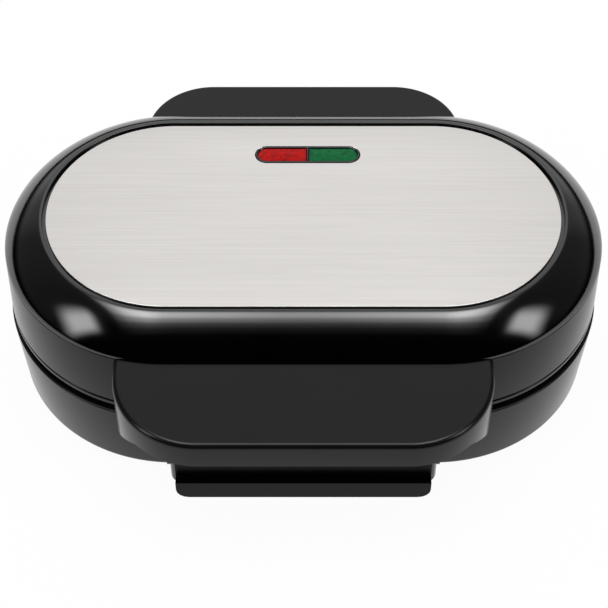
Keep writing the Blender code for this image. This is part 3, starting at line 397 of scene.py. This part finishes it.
def ceramic():
    """Unglazed ceramic: chalky, with faint darker grains."""
    finish = Finish("ceramic", (0.74, 0.71, 0.64), 0.62)
    grain = finish.noise(finish.place(), 700.0, 4.0)
    finish.set("Base Color", finish.mix(grain, (0.62, 0.59, 0.52, 1), (0.80, 0.78, 0.71, 1)))
    finish.bump(grain, 0.3, 0.0001)
    return finish


def rubber():
    """Black rubber with a dusty bloom."""
    finish = Finish("rubber", (0.015, 0.015, 0.015), 0.78)
    bloom = finish.noise(finish.place(), 160.0, 4.0)
    finish.set("Base Color", finish.mix(bloom, (0.012, 0.012, 0.012, 1), (0.026, 0.026, 0.026, 1)))
    finish.set("Roughness", 0.68 + bloom * 0.18)
    finish.bump(bloom, 0.2, 0.0001)
    return finish


def lamp_glass():
    """Thin clear bulb with a warm tint."""
    finish = Finish("lamp_glass", (0.85, 0.74, 0.62), 0.08, IOR=1.47, Transmission_Weight=0.9)
    frost = finish.noise(finish.place(), 500.0, 2.0)
    finish.set("Roughness", 0.05 + frost * 0.08)
    return finish


GLOSS = gloss_black()
SATIN = satin_black()
# The clip's finish is the satin darkened: painted shade.
SHADED_CLIP = clip_painted_shade()
STEEL = brushed_steel()
METAL = plain_steel()
SHEET = bright_sheet()
COATED = nonstick_black()
CERAMIC = ceramic()
RUBBER = rubber()
GLASS = lamp_glass()
FINISH_BY_SLOT = {
    "gloss_black": GLOSS,
    "satin_black": SATIN,
    "brushed_steel": STEEL,
    "plain_steel": METAL,
    "bright_sheet": SHEET,
    "nonstick_black": COATED,
    "ceramic": CERAMIC,
    "rubber": RUBBER,
    "lamp_glass": GLASS,
}

# %% [markdown]
# ## The gloss cover
# The cover is one moulding. Its flat middle is sunk to take the steel plate, a thin lip stands
# round that, and from the lip a shoulder falls away to the parting line. The shoulder is close to
# a quarter of an ellipse, only fuller near the lip.

# %% Gloss cover
RECESS_GAP = 0.0014
LIP_WIDTH = 0.0008
LIP_ROUND = 0.0003
COVER_FLOOR = 0.0022
COVER_WALL = 0.0024
COVER_EDGE = 0.0004
SHOULDER_SHARE = 1.35
SHOULDER_POINTS = 40
frame_low, frame_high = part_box("lamp_frame")
WINDOW_LENGTH = frame_high.x - frame_low.x
WINDOW_WIDTH = frame_high.y - frame_low.y
WINDOW_MIDDLE = ((frame_high.x + frame_low.x) / 2, (frame_high.y + frame_low.y) / 2)
WINDOW_SPINE = (WINDOW_LENGTH - WINDOW_WIDTH) / 2
WINDOW_RADIUS = WINDOW_WIDTH / 2


def shoulder(inner, outer, foot, top):
    """Superellipse from the lip to the parting line: (x/a)^n + (y/b)^n = 1."""
    turn = np.linspace(math.pi / 2, 0, SHOULDER_POINTS)
    power = 2 / SHOULDER_SHARE
    across = inner + (outer - inner) * np.abs(np.cos(turn)) ** power
    up = foot + (top - foot) * np.abs(np.sin(turn)) ** power
    return np.stack([across, up], axis=1)


def shoulder_spine(profile, lip):
    """The spine of each ring shortens from the lid's side to the lip, in proportion to its radius."""
    share = (LID_RADIUS - np.asarray(profile)[:, 0]) / (LID_RADIUS - lip)
    return SPINE - DRAW_IN * np.clip(share, 0, 1)


def window_rings(profile):
    """Rings round the lamp window, from (radius, height) points."""
    return oval_rings(profile, WINDOW_SPINE, WINDOW_MIDDLE)


def make_cover():
    """Cover from the window's hole out over the recess, the lip and the shoulder, and back."""
    recess = PLATE_RADIUS + RECESS_GAP
    lip = recess + LIP_WIDTH
    floor = PLATE_UNDER - FIT
    hole = WINDOW_RADIUS + FIT
    lip_corners = [(recess, floor), (recess, LIP_TOP), (lip, LIP_TOP), (lip + LIP_WIDTH, PARTING)]
    lip_points = rounded(lip_corners, [0, LIP_ROUND, 0, 0])[:-2]
    curve = shoulder(lip, LID_RADIUS, PARTING + COVER_EDGE, LIP_TOP)
    edge = [(LID_RADIUS, PARTING + COVER_EDGE / 2), (LID_RADIUS - COVER_EDGE, PARTING)]
    inside = LID_RADIUS - COVER_WALL
    under = shoulder(recess - COVER_WALL, inside, PARTING + COVER_EDGE, floor - COVER_FLOOR)[::-1]
    body = np.concatenate([lip_points, curve, edge, [(inside, PARTING)], under])
    rings = np.concatenate([window_rings([(hole, floor - COVER_FLOOR), (hole, floor)]),
                            oval_rings(body, shoulder_spine(body, lip))])
    cover = loft("lid_cover", rings, "lid")
    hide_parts("top_cover")
    return paint(cover, GLOSS)


cover = make_cover()
print("cover faces:", len(cover.data.polygons))

# %% [markdown]
# ## The brushed plate
# The plate is a flat sheet with a hole for the window. Its outline and the hole are two nested
# ovals, so the flat face is one band of quads between them. The edge is broken by a tiny radius
# that catches a bright line.

# %% Steel plate
PLATE_EDGE = 0.00025
PLATE_EDGE_POINTS = 6


def make_plate():
    """Sheet between the window's hole and the outer oval, with a broken outer edge."""
    hole = WINDOW_RADIUS + FIT
    bend = [(PLATE_RADIUS - PLATE_EDGE + PLATE_EDGE * math.sin(turn),
             PLATE_TOP - PLATE_EDGE + PLATE_EDGE * math.cos(turn))
            for turn in np.linspace(0, math.pi / 2, PLATE_EDGE_POINTS)]
    inner = window_rings([(hole, PLATE_UNDER), (hole, PLATE_TOP - PLATE_EDGE / 2),
                          (hole + PLATE_EDGE / 2, PLATE_TOP)])
    outer = oval_rings(bend + [(PLATE_RADIUS, PLATE_UNDER)], PLATE_SPINE)
    plate = loft("brushed_plate", np.concatenate([inner, outer]), "lid")
    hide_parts("steel_plate")
    return paint(plate, STEEL)


plate = make_plate()
print("plate faces:", len(plate.data.polygons))

# %% [markdown]
# ## The satin side and the base
# The side of the lid is a plain wall with one groove near its foot. The base is a bowl: it tapers
# towards the table and turns under with a soft radius. Both are one profile carried round the oval.
# Each corner of the profile has its own small radius, because a moulding has no sharp edge, and
# the radius is what catches the light along the seam.

# %% Side wall and bowl
GROOVE_HEIGHT = 0.0028
GROOVE_DEPTH = 0.0006
GROOVE_WIDTH = 0.0007
EDGE_ROUND = 0.0007
WALL = 0.0024
LEDGE_WIDTH = 0.0025
LEDGE_HEIGHT = 0.0020
BASE_TAPER = 0.0022
BASE_FILLET = 0.0038
FILLET_STEPS = 10
upper_plate_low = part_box("upper_cooking_plate")[0]
lower_plate_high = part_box("lower_cooking_plate")[1]
FLANGE_THICKNESS = 0.0024
FLANGE_CLEARANCE = 0.0005


def make_side():
    """Wall between the parting line and the seam, with a groove and a ledge inside."""
    top = PARTING - FIT
    groove = LID_FOOT + GROOVE_HEIGHT
    inside = FLARE_RADIUS - WALL
    ledge = upper_plate_low.z + FLANGE_THICKNESS + FIT
    ledge_radius = inside - FLANGE_CLEARANCE - LEDGE_WIDTH
    corners = [(LID_RADIUS, top), (FLARE_RADIUS, groove + GROOVE_WIDTH),
               (FLARE_RADIUS - GROOVE_DEPTH, groove), (FLARE_RADIUS, groove - GROOVE_WIDTH),
               (FLARE_RADIUS, LID_FOOT), (inside, LID_FOOT), (inside, ledge), (ledge_radius, ledge),
               (ledge_radius, ledge + LEDGE_HEIGHT), (inside, ledge + 2 * LEDGE_HEIGHT),
               (LID_RADIUS - WALL, top)]
    radii = [EDGE_ROUND / 2, EDGE_ROUND / 4, EDGE_ROUND / 3, EDGE_ROUND / 4, EDGE_ROUND, 0, 0, 0, 0, 0, 0]
    side = loft("lid_side", oval_rings(rounded(corners, radii)), "lid")
    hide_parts("upper_housing")
    return paint(side, SATIN)


def make_bowl():
    """Bowl from the seam down the tapered side, round the foot and across the floor."""
    ledge = lower_plate_high.z - FLANGE_THICKNESS - FIT
    inside = BASE_RADIUS - WALL
    foot = BASE_RADIUS - BASE_TAPER
    ledge_radius = inside - FLANGE_CLEARANCE - LEDGE_WIDTH
    inner_foot = foot - WALL
    corners = [(0, BASE_FLOOR), (foot, BASE_FLOOR), (BASE_RADIUS, BASE_TOP), (inside, BASE_TOP),
               (inside, ledge), (ledge_radius, ledge), (ledge_radius, ledge - LEDGE_HEIGHT),
               (inner_foot, ledge - 3 * LEDGE_HEIGHT), (inner_foot, BASE_FLOOR + 2 * WALL),
               (inner_foot - WALL, BASE_FLOOR + WALL), (0, BASE_FLOOR + WALL)]
    radii = [0, BASE_FILLET, EDGE_ROUND, 0, 0, 0, 0, 0, 0, 0, 0]
    rings = oval_rings(rounded(corners, radii, FILLET_STEPS))
    bowl = loft("base_bowl", rings, "base", wrap_rows=False)
    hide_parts("lower_housing")
    return paint(bowl, SATIN)


side = make_side()
bowl = make_bowl()
print("side faces:", len(side.data.polygons), "bowl faces:", len(bowl.data.polygons))

# %% [markdown]
# ## Handle and hinge cover
# Both are shells that stand out from the body: a flat top, a rounded edge, a skirt, and two large
# corners in plan. On the handle the skirt's lower edge falls towards the body, the top falls a
# little towards the front, and the edge is rounder, which gives it a bright line over a black one.

# %% Wings of the body
CORNER_POINTS = 48
SIDE_POINTS = 24
WING_EDGE = 0.0014
HANDLE_EDGE = 0.0022
HANDLE_FALL = 0.0014
WING_RIM = 0.0004
WING_WALL = 0.0025
WING_EDGE_POINTS = 8


def side_radius(height):
    """Radius of the lid's side at a height, where a wing begins: a straight line down the wall."""
    return LID_RADIUS + (FLARE_RADIUS - LID_RADIUS) * (PARTING - height) / (PARTING - LID_FOOT) + FIT


def wing_outline(half_width, reach, corner, inset, height, side):
    """Plan of a wing, from the body round both corners and back to the body.

    Each side starts on the body's own oval, at the height asked for, and the corners are arcs.
    """
    wide = half_width - inset
    far = reach - inset
    radius = corner - inset
    start = np.sqrt(side_radius(height) ** 2 - (wide - SPINE) ** 2)
    run = start + (far - radius - start) * np.linspace(0, 1, SIDE_POINTS)[:-1]
    turn = np.linspace(0, math.pi / 2, CORNER_POINTS)
    front = np.linspace(wide - radius, radius - wide, SIDE_POINTS + 2)[1:-1]
    x = np.concatenate([np.full(len(run), wide), wide - radius + radius * np.cos(turn), front,
                        radius - wide - radius * np.sin(turn), np.full(len(run), -wide)])
    y = np.concatenate([run, far - radius + radius * np.sin(turn), np.full(len(front), far),
                        far - radius + radius * np.cos(turn), run[::-1]])
    return np.stack([x, BODY_Y + side * y], axis=1)


def back_line(outline, height, side):
    """Where a wing's top meets the body: the outline's points slid back on to the oval."""
    radius = side_radius(height)
    share = np.linspace(1, -1, len(outline))
    x = share * outline[0, 0]
    past = np.maximum(np.abs(x) - SPINE, 0)
    return np.stack([x, BODY_Y + side * np.sqrt(radius ** 2 - past ** 2)], axis=1)


def make_wing(name, node, half_width, reach, corner, side, under, edge_round, fall):
    """Shell of a wing: over the top, round its edge, down the skirt and back up inside.

    The top's height falls in proportion to the distance from the body.
    """
    def ring(inset, height):
        plan = wing_outline(half_width, reach, corner, inset, height, side)
        share = (side * (plan[:, 1] - BODY_Y) - LID_RADIUS) / (reach - LID_RADIUS)
        return np.column_stack([plan, height - fall * np.clip(share, 0, 1)])

    def skirt(inset, rise):
        plan = wing_outline(half_width, reach, corner, inset, PARTING, side)
        return np.column_stack([plan, under(plan[:, 1]) + rise])

    roof = PARTING - WING_WALL
    top = ring(edge_round, PARTING)
    inner = ring(WING_WALL, roof)
    turns = np.linspace(0, math.pi / 2, WING_EDGE_POINTS)[1:]
    edge = [ring(edge_round * (1 - math.sin(turn)), PARTING - edge_round * (1 - math.cos(turn)))
            for turn in turns]
    rings = [np.column_stack([back_line(top, PARTING, side), np.full(len(top), PARTING)]), top, *edge,
             skirt(0, WING_RIM), skirt(WING_RIM, 0), skirt(WING_WALL, 0), inner,
             np.column_stack([back_line(inner, roof, side), np.full(len(inner), roof)])]
    wing = loft(name, rings, "lid", wrap_columns=False)
    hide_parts(node)
    return paint(wing, SATIN)


HANDLE_CORNER = 0.0343
HANDLE_FACE = 0.0145
HANDLE_LEVEL_RUN = 0.0103
HANDLE_SLOPE_RUN = 0.0167
HANDLE_BREAK = handle_low.y + HANDLE_LEVEL_RUN
HANDLE_FRONT_REACH = BODY_Y - handle_low.y


def handle_under(y):
    """Height of the handle's lower edge: level at the front, then down a slope to the root."""
    places = [handle_low.y, HANDLE_BREAK, HANDLE_BREAK + HANDLE_SLOPE_RUN, BODY_Y]
    return np.interp(y, places, [PARTING - HANDLE_FACE, PARTING - HANDLE_FACE, handle_low.z, handle_low.z])


WING_CORNER = 0.0284
left_pin_low, left_pin_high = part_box("hinge_pin_left")
right_pin_low, right_pin_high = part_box("hinge_pin_right")
PIN_X = (right_pin_low.x + right_pin_high.x) / 2
PIN_Y = (left_pin_low.y + left_pin_high.y) / 2
PIN_Z = (left_pin_low.z + left_pin_high.z) / 2
SKIRT_RISE = 0.0055
handle = make_wing("front_handle", "upper_handle", handle_high.x, HANDLE_FRONT_REACH, HANDLE_CORNER, -1,
                   handle_under, HANDLE_EDGE, HANDLE_FALL)
wing = make_wing("rear_wing", "hinge_cover", wing_high.x, wing_high.y - BODY_Y, WING_CORNER, 1,
                 lambda y: np.full(len(y), PIN_Z + SKIRT_RISE), WING_EDGE, 0.0)
print("handle faces:", len(handle.data.polygons), "wing faces:", len(wing.data.polygons))

# %% [markdown]
# ## Hinge ears
# Under the rear wing hang two pairs of ears, one on each side of a lug of the base. An ear is a
# flat plate with a round end and a bore, so it is a band of quads between its outline and the bore.

# %% Hinge ears
EAR_RADIUS = 0.0060
EAR_ROOT_FRONT = 0.0090
EAR_ROOT_BACK = 0.0070
EAR_POINTS = 96
EAR_ROUND_POINTS = 48
PIN_RADIUS = (left_pin_high.z - left_pin_low.z) / 2
PIN_LENGTH = left_pin_high.x - left_pin_low.x
EAR_WIDTH = 0.0055
LUG_WIDTH = PIN_LENGTH - 2 * EAR_WIDTH - 2 * FIT


def ear_outline():
    """Half circle round the pin with two straight sides up to the wing's roof."""
    roof = PARTING - WING_WALL / 2
    turn = np.linspace(math.pi, 2 * math.pi, EAR_ROUND_POINTS)
    y = np.concatenate([PIN_Y + EAR_RADIUS * np.cos(turn), [PIN_Y + EAR_ROOT_BACK, PIN_Y - EAR_ROOT_FRONT]])
    z = np.concatenate([PIN_Z + EAR_RADIUS * np.sin(turn), [roof, roof]])
    closed_y = np.append(y, y[0])
    closed_z = np.append(z, z[0])
    lengths = np.concatenate([[0], np.cumsum(np.hypot(np.diff(closed_y), np.diff(closed_z)))])
    at = np.linspace(0, lengths[-1], EAR_POINTS, endpoint=False)
    return np.interp(at, lengths, closed_y), np.interp(at, lengths, closed_z)


def make_ears():
    """Four ears, each a loft of bore, outline, outline and bore."""
    y, z = ear_outline()
    turn = np.arctan2(z - PIN_Z, y - PIN_Y)
    bore = PIN_RADIUS + FIT / 3
    for count, (side, end) in enumerate(((-1, -1), (-1, 1), (1, -1), (1, 1))):
        near = side * PIN_X + end * (LUG_WIDTH / 2 + FIT)
        far = near + end * EAR_WIDTH
        rings = []
        for x, hollow in ((near, True), (near, False), (far, False), (far, True)):
            ring_y = PIN_Y + bore * np.cos(turn) if hollow else y
            ring_z = PIN_Z + bore * np.sin(turn) if hollow else z
            rings.append(np.column_stack([np.full(EAR_POINTS, x), ring_y, ring_z]))
        paint(loft(f"hinge_ear_{count + 1}", rings, "lid"), SATIN)


make_ears()
print("pins at x", round(PIN_X, 4), "y", round(PIN_Y, 4), "z", round(PIN_Z, 5))

# %% [markdown]
# ## Lamp window
# A dark frame holds two lenses end to end, one red and one green. The lens outline is the
# window's oval, cut off at the middle: every point past the middle is slid back to it.

# %% Lamp window
FRAME_WIDTH = 0.0007
FRAME_ROUND = 0.0002
LENS_CROWN = 0.0003
LENS_STEPS = 10
CUT_PAST = 0.001
FRAME_TOP = frame_high.z
FRAME_FOOT = frame_low.z
LENS_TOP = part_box("red_lens")[1].z


def lens_rings(profile, side, gap):
    """Window rings whose points stop at the bar in the middle: x = min(x, bar)."""
    rings = window_rings(profile)
    inner = FRAME_WIDTH / 2 + gap
    insets = (WINDOW_RADIUS - FRAME_WIDTH - gap) - np.asarray([radius for radius, height in profile])
    bar = WINDOW_MIDDLE[0] + side * (inner + np.maximum(insets, 0))[:, None]
    rings[..., 0] = np.maximum(rings[..., 0], bar) if side > 0 else np.minimum(rings[..., 0], bar)
    return rings


def cut(piece, tools):
    """Cut the tools out of a piece, keep the result and remove the tools."""
    for tool in tools:
        modifier = piece.modifiers.new("cut", "BOOLEAN")
        modifier.operation = "DIFFERENCE"
        modifier.solver = "EXACT"
        modifier.object = tool
    depsgraph = bpy.context.evaluated_depsgraph_get()
    mesh = bpy.data.meshes.new_from_object(piece.evaluated_get(depsgraph))
    piece.modifiers.clear()
    piece.data = mesh
    for tool in tools:
        bpy.data.objects.remove(tool, do_unlink=True)
    return piece


def make_frame():
    """Oval block with a rounded rim and two lens-shaped holes."""
    corners = [(0, FRAME_FOOT), (WINDOW_RADIUS, FRAME_FOOT), (WINDOW_RADIUS, FRAME_TOP), (0, FRAME_TOP)]
    rim = loft("lamp_bezel", window_rings(rounded(corners, [0, 0, FRAME_ROUND, 0])), "lid",
               wrap_rows=False)
    hole = WINDOW_RADIUS - FRAME_WIDTH
    through = [(0, FRAME_FOOT - CUT_PAST), (hole, FRAME_FOOT - CUT_PAST), (hole, FRAME_TOP + CUT_PAST),
               (0, FRAME_TOP + CUT_PAST)]
    tools = [loft(f"hole_{side}", lens_rings(through, side, 0), "lid", wrap_rows=False)
             for side in (-1, 1)]
    cut(rim, tools)
    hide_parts("lamp_frame")
    return paint(rim, GLOSS)


def make_lens(name, node, side, finish):
    """Lens with a crown that rises by the square of the share from its edge to its middle."""
    edge = WINDOW_RADIUS - FRAME_WIDTH - FIT
    share = np.linspace(0, 1, LENS_STEPS)
    top = np.stack([edge * (1 - share), LENS_TOP - LENS_CROWN * (1 - share) ** 2], axis=1)
    profile = np.concatenate([[(0, FRAME_FOOT), (edge, FRAME_FOOT)], top])
    lens = loft(name, lens_rings(profile, side, FIT), "lid", wrap_rows=False)
    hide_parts(node)
    return paint(lens, finish)


# %% [markdown]
# A lens is clear coloured plastic over a grid of tiny prisms, which break the lamp's light up. Two
# triangle waves that cross are multiplied, which gives the grid its bright and dark cells. A little
# emission of the same colour stands for the light that the plastic passes on.

# %% Lens finishes
PRISM_PITCH = 0.0008


def lens_finish(name, dark, light):
    """Prism grid of about 0.8 mm under a clear face: the product of two triangle waves."""
    finish = Finish(name, light, 0.15, Specular_IOR_Level=0.12)
    where = finish.place()
    across = finish.axis(where, "X") * (1 / PRISM_PITCH)
    along = finish.axis(where, "Y") * (1 / PRISM_PITCH)
    waves = []
    for value in (across + along, across - along):
        waves.append(value.math("PINGPONG", value, 0.5) * 2)
    cells = waves[0] * waves[1]
    cloud = finish.noise(where, 500.0, 2.0)
    glow = (cells * 0.7 + cloud * 0.5).step(0.20, 0.65)
    finish.set("Base Color", finish.mix(glow, (*dark, 1), (*light, 1)))
    finish.set("Emission Color", finish.mix(glow, (*dark, 1), (*light, 1)))
    finish.set("Emission Strength", 0.30)
    finish.bump(cells, 0.3, 0.0001)
    return finish


RED = lens_finish("red_lens", (0.08, 0.0003, 0.0002), (0.50, 0.0015, 0.0008))
GREEN = lens_finish("green_lens", (0.0002, 0.028, 0.008), (0.0008, 0.145, 0.040))
make_frame()
make_lens("red_window", "red_lens", -1, RED)
make_lens("green_window", "green_lens", 1, GREEN)
print("window", round(WINDOW_LENGTH, 4), "by", round(WINDOW_WIDTH, 4))

# %% [markdown]
# ## Pieces that keep their solid
# The other pieces have the right shape already. A copy of each is welded, its flat faces are
# joined up, and a narrow bevel rounds the edges so that they catch the light. The clip gets a
# blacker, duller copy of the satin: painted shade, for the shade it sits in under the handle. What
# lies inside keeps the imported mesh as it is.

# %% Copies with soft edges
FLAT_DEG = 0.5
BEVEL_DEG = 30.0
BEVEL_SEGMENTS = 3


def soften(node, body, slot, width):
    """Copy a node, weld it, join its flat faces and bevel its sharper edges."""
    source = frame["nodes"][node]
    bm = bmesh.new()
    bm.from_mesh(source.data)
    bmesh.ops.remove_doubles(bm, verts=bm.verts, dist=MERGE)
    bmesh.ops.dissolve_limit(bm, angle_limit=math.radians(FLAT_DEG), verts=bm.verts, edges=bm.edges)
    piece = add_piece(node + "_finished", bm, body)
    piece.data.set_sharp_from_angle(angle=math.radians(BEVEL_DEG))
    bevel = piece.modifiers.new("soft edges", "BEVEL")
    bevel.width = width
    bevel.segments = BEVEL_SEGMENTS
    bevel.limit_method = "ANGLE"
    bevel.angle_limit = math.radians(BEVEL_DEG)
    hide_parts(node)
    return paint(piece, FINISH_BY_SLOT[slot])


SOFTENED = {
    "latch_clip": 0.0005,
    "lower_handle": 0.0003,
    "handle_underside": 0.0002,
    "hinge_block": 0.0006,
    "cord_gland": 0.0003,
    "upper_cooking_plate": 0.0006,
    "lower_cooking_plate": 0.0006,
}
slots = {entry["node"]: entry["material_slot"] for entry in frame["record"]["subparts"]}
bodies = {node: body for body, nodes in frame["record"]["behaviour"]["bodies"].items() for node in nodes}
for node, width in SOFTENED.items():
    piece = soften(node, bodies[node], slots[node], width)
    # The clip's blacker finish is painted shade under the handle, not a plastic of its own.
    if node == "latch_clip":
        paint(piece, SHADED_CLIP)
for node, thing in frame["nodes"].items():
    if slots[node] in FINISH_BY_SLOT:
        paint(thing, FINISH_BY_SLOT[slots[node]])
print("softened copies:", len(SOFTENED))

# %% [markdown]
# ## Camera
# The camera looks down at the lid by about 50 degrees, from a little under 70 cm away. Its place,
# its tilt and its focal length were solved together from the outlines in the photograph.

# %% Camera
CAMERA_DOWN_DEG = 49.64
CAMERA_PLACE = (0.00024, -0.4630, 0.5835)
FOCAL_PIXELS = 1658.3
PICTURE_PIXELS = 608
SENSOR_MM = 36.0
CLIP_START = 0.05
camera_data = bpy.data.cameras.new("camera")
camera_data.sensor_width = SENSOR_MM
camera_data.lens = FOCAL_PIXELS / PICTURE_PIXELS * camera_data.sensor_width
camera_data.clip_start = CLIP_START
camera = bpy.data.objects.new("camera", camera_data)
camera.location = CAMERA_PLACE
camera.rotation_euler = (math.radians(90 - CAMERA_DOWN_DEG), 0, 0)
scene.collection.objects.link(camera)
scene.camera = camera
print("lens", round(camera_data.lens, 1), "mm, down", CAMERA_DOWN_DEG, "degrees")

# %% [markdown]
# ## Studio
# Black plastic shows hardly anything but what it mirrors, so the room is the light. The stage needs
# shader nodes too, and two small functions make them: one adds any node, and the other tells what
# is seen, or seen in a mirror, from what only lights a surface.

# %% Shader nodes outside a finish
def add_node(tree, kind, settings=None, inputs=None):
    """Add a node, with its settings first and then the numbers and links of its sockets."""
    made = tree.nodes.new(kind)
    for name, value in (settings or {}).items():
        setattr(made, name, value)
    for key, value in (inputs or {}).items():
        if isinstance(value, bpy.types.NodeSocket):
            tree.links.new(value, made.inputs[key])
        else:
            made.inputs[key].default_value = value
    return made


def seen_share(tree):
    """1 for what the camera, a mirror or clear plastic shows, and 0 for light on a surface."""
    path = add_node(tree, "ShaderNodeLightPath")
    either = add_node(tree, "ShaderNodeMath", {"operation": "MAXIMUM"},
                      {0: path.outputs["Is Camera Ray"], 1: path.outputs["Is Glossy Ray"]})
    return add_node(tree, "ShaderNodeMath", {"operation": "MAXIMUM"},
                    {0: either.outputs[0], 1: path.outputs["Is Transmission Ray"]}).outputs[0]


# %% [markdown]
# ## Floor
# The floor is a pale table. To the eye and in reflections it is white, and a small share of its own
# shading is left in, so that the shadow under the object shows. It gives the object no more light
# than a white table does.

# %% Floor
FLOOR_LOW = (-1.0, -0.45)
FLOOR_HIGH = (1.0, 1.0)
FLOOR_SEEN = 0.96
FLOOR_COLOUR = (0.8, 0.8, 0.8, 1)


def make_floor():
    """White table: nearly plain white where it is seen, so that only a faint shadow shows."""
    corners = [(FLOOR_LOW[0], FLOOR_LOW[1], 0), (FLOOR_HIGH[0], FLOOR_LOW[1], 0),
               (FLOOR_HIGH[0], FLOOR_HIGH[1], 0), (FLOOR_LOW[0], FLOOR_HIGH[1], 0)]
    mesh = bpy.data.meshes.new("floor")
    mesh.from_pydata(corners, [], [(0, 1, 2, 3)])
    floor = bpy.data.objects.new("floor", mesh)
    scene.collection.objects.link(floor)
    material = bpy.data.materials.new("floor_white")
    material.use_nodes = True
    tree = material.node_tree
    tree.nodes.clear()
    plain = add_node(tree, "ShaderNodeBsdfDiffuse", {}, {"Color": FLOOR_COLOUR})
    white = add_node(tree, "ShaderNodeEmission", {}, {"Strength": 1.0})
    share = add_node(tree, "ShaderNodeMath", {"operation": "MULTIPLY"}, {0: seen_share(tree), 1: FLOOR_SEEN})
    mixed = add_node(tree, "ShaderNodeMixShader", {}, {0: share.outputs[0], 1: plain.outputs[0],
                                                       2: white.outputs[0]})
    add_node(tree, "ShaderNodeOutputMaterial", {}, {"Surface": mixed.outputs[0]})
    floor.data.materials.append(material)
    return floor


floor = make_floor()
print("floor:", [round(size, 2) for size in floor.dimensions])

# %% [markdown]
# ## Room
# A soft panel hangs over the object, brightest a little to its left and right. Two side panels make
# the bright spots on the lid's front corners. Behind hangs a dimmer panel, which the steel mirrors,
# and then a pale wall. The room in front is dark, which keeps the front of the lid black. Each
# panel is a brightness along Y times a brightness across, both read from the direction that a ray
# takes, so no lamp stands in the scene. All of it fades out at the horizon.

# %% Room
PANELS = {
    "overhead": {
        "level": 8.0,
        "forward": [(-0.62, 0.0), (-0.50, 0.018), (-0.39, 0.086), (-0.27, 0.40), (-0.12, 1.0), (0.0, 1.05),
                    (0.08, 0.85), (0.17, 0.40), (0.28, 0.0)],
        "across": [(0.0, 0.44), (0.06, 0.62), (0.12, 0.95), (0.18, 1.12), (0.25, 1.0), (0.32, 0.75),
                   (0.38, 0.35), (0.45, 0.0)],
    },
    "sides": {
        "level": 5.6,
        "forward": [(-0.57, 0.0), (-0.42, 1.0), (-0.32, 1.0), (-0.10, 0.0)],
        "across": [(0.56, 0.0), (0.66, 1.0), (0.78, 1.0), (0.92, 0.0)],
    },
    "rear": {
        "level": 0.8,
        "forward": [(0.22, 0.0), (0.34, 1.0), (0.72, 1.0), (0.85, 0.0)],
        "across": [(0.0, 1.0), (0.36, 1.0), (0.50, 0.0)],
    },
    "wall": {
        "level": 1.0,
        "forward": [(-0.5, 0.0), (-0.1, 0.08), (0.5, 0.14), (0.7, 0.35), (0.85, 0.85), (1.0, 0.9)],
        "across": [(0.0, 1.0), (1.0, 1.0)],
    },
}
HORIZON_FADE = 0.15


def level_ramp(tree, source, stops, low, high):
    """A brightness that runs smoothly through (place, level) stops."""
    span = add_node(tree, "ShaderNodeMapRange", {}, {0: source, 1: low, 2: high, 3: 0.0, 4: 1.0})
    ramp = add_node(tree, "ShaderNodeValToRGB", {}, {0: span.outputs[0]})
    ramp.color_ramp.interpolation = "EASE"
    top = max(level for place, level in stops)
    elements = ramp.color_ramp.elements
    while len(elements) < len(stops):
        elements.new(0.5)
    for element, (place, level) in zip(elements, stops):
        element.position = (place - low) / (high - low)
        element.color = (level / top, level / top, level / top, 1)
    scaled = add_node(tree, "ShaderNodeMath", {"operation": "MULTIPLY"}, {0: ramp.outputs[0], 1: top})
    return scaled.outputs[0]


def make_room():
    """World: white to the camera, and to everything else the sum of the panels' brightness."""
    world = bpy.data.worlds.new("room")
    world.use_nodes = True
    tree = world.node_tree
    tree.nodes.clear()
    where = add_node(tree, "ShaderNodeTexCoord")
    split = add_node(tree, "ShaderNodeSeparateXYZ", {}, {0: where.outputs["Generated"]})
    beside = add_node(tree, "ShaderNodeMath", {"operation": "ABSOLUTE"}, {0: split.outputs["X"]})
    light = None
    for panel in PANELS.values():
        shape = add_node(tree, "ShaderNodeMath", {"operation": "MULTIPLY"},
                         {0: level_ramp(tree, split.outputs["Y"], panel["forward"], -1.0, 1.0),
                          1: level_ramp(tree, beside.outputs[0], panel["across"], 0.0, 1.0)})
        added = {0: shape.outputs[0], 1: panel["level"], 2: light.outputs[0] if light else 0.0}
        light = add_node(tree, "ShaderNodeMath", {"operation": "MULTIPLY_ADD"}, added)
    above = add_node(tree, "ShaderNodeMapRange", {"interpolation_type": "SMOOTHSTEP"},
                     {0: split.outputs["Z"], 1: 0.0, 2: HORIZON_FADE, 3: 0.0, 4: 1.0})
    light = add_node(tree, "ShaderNodeMath", {"operation": "MULTIPLY"},
                     {0: light.outputs[0], 1: above.outputs[0]})
    path = add_node(tree, "ShaderNodeLightPath")
    choose = add_node(tree, "ShaderNodeMix", {}, {0: path.outputs["Is Camera Ray"],
                                                  2: light.outputs[0], 3: 1.0})
    background = add_node(tree, "ShaderNodeBackground", {},
                          {"Color": (1, 1, 1, 1), "Strength": choose.outputs[0]})
    add_node(tree, "ShaderNodeOutputWorld", {}, {"Surface": background.outputs[0]})
    scene.world = world


make_room()
print("panels:", ", ".join(PANELS))
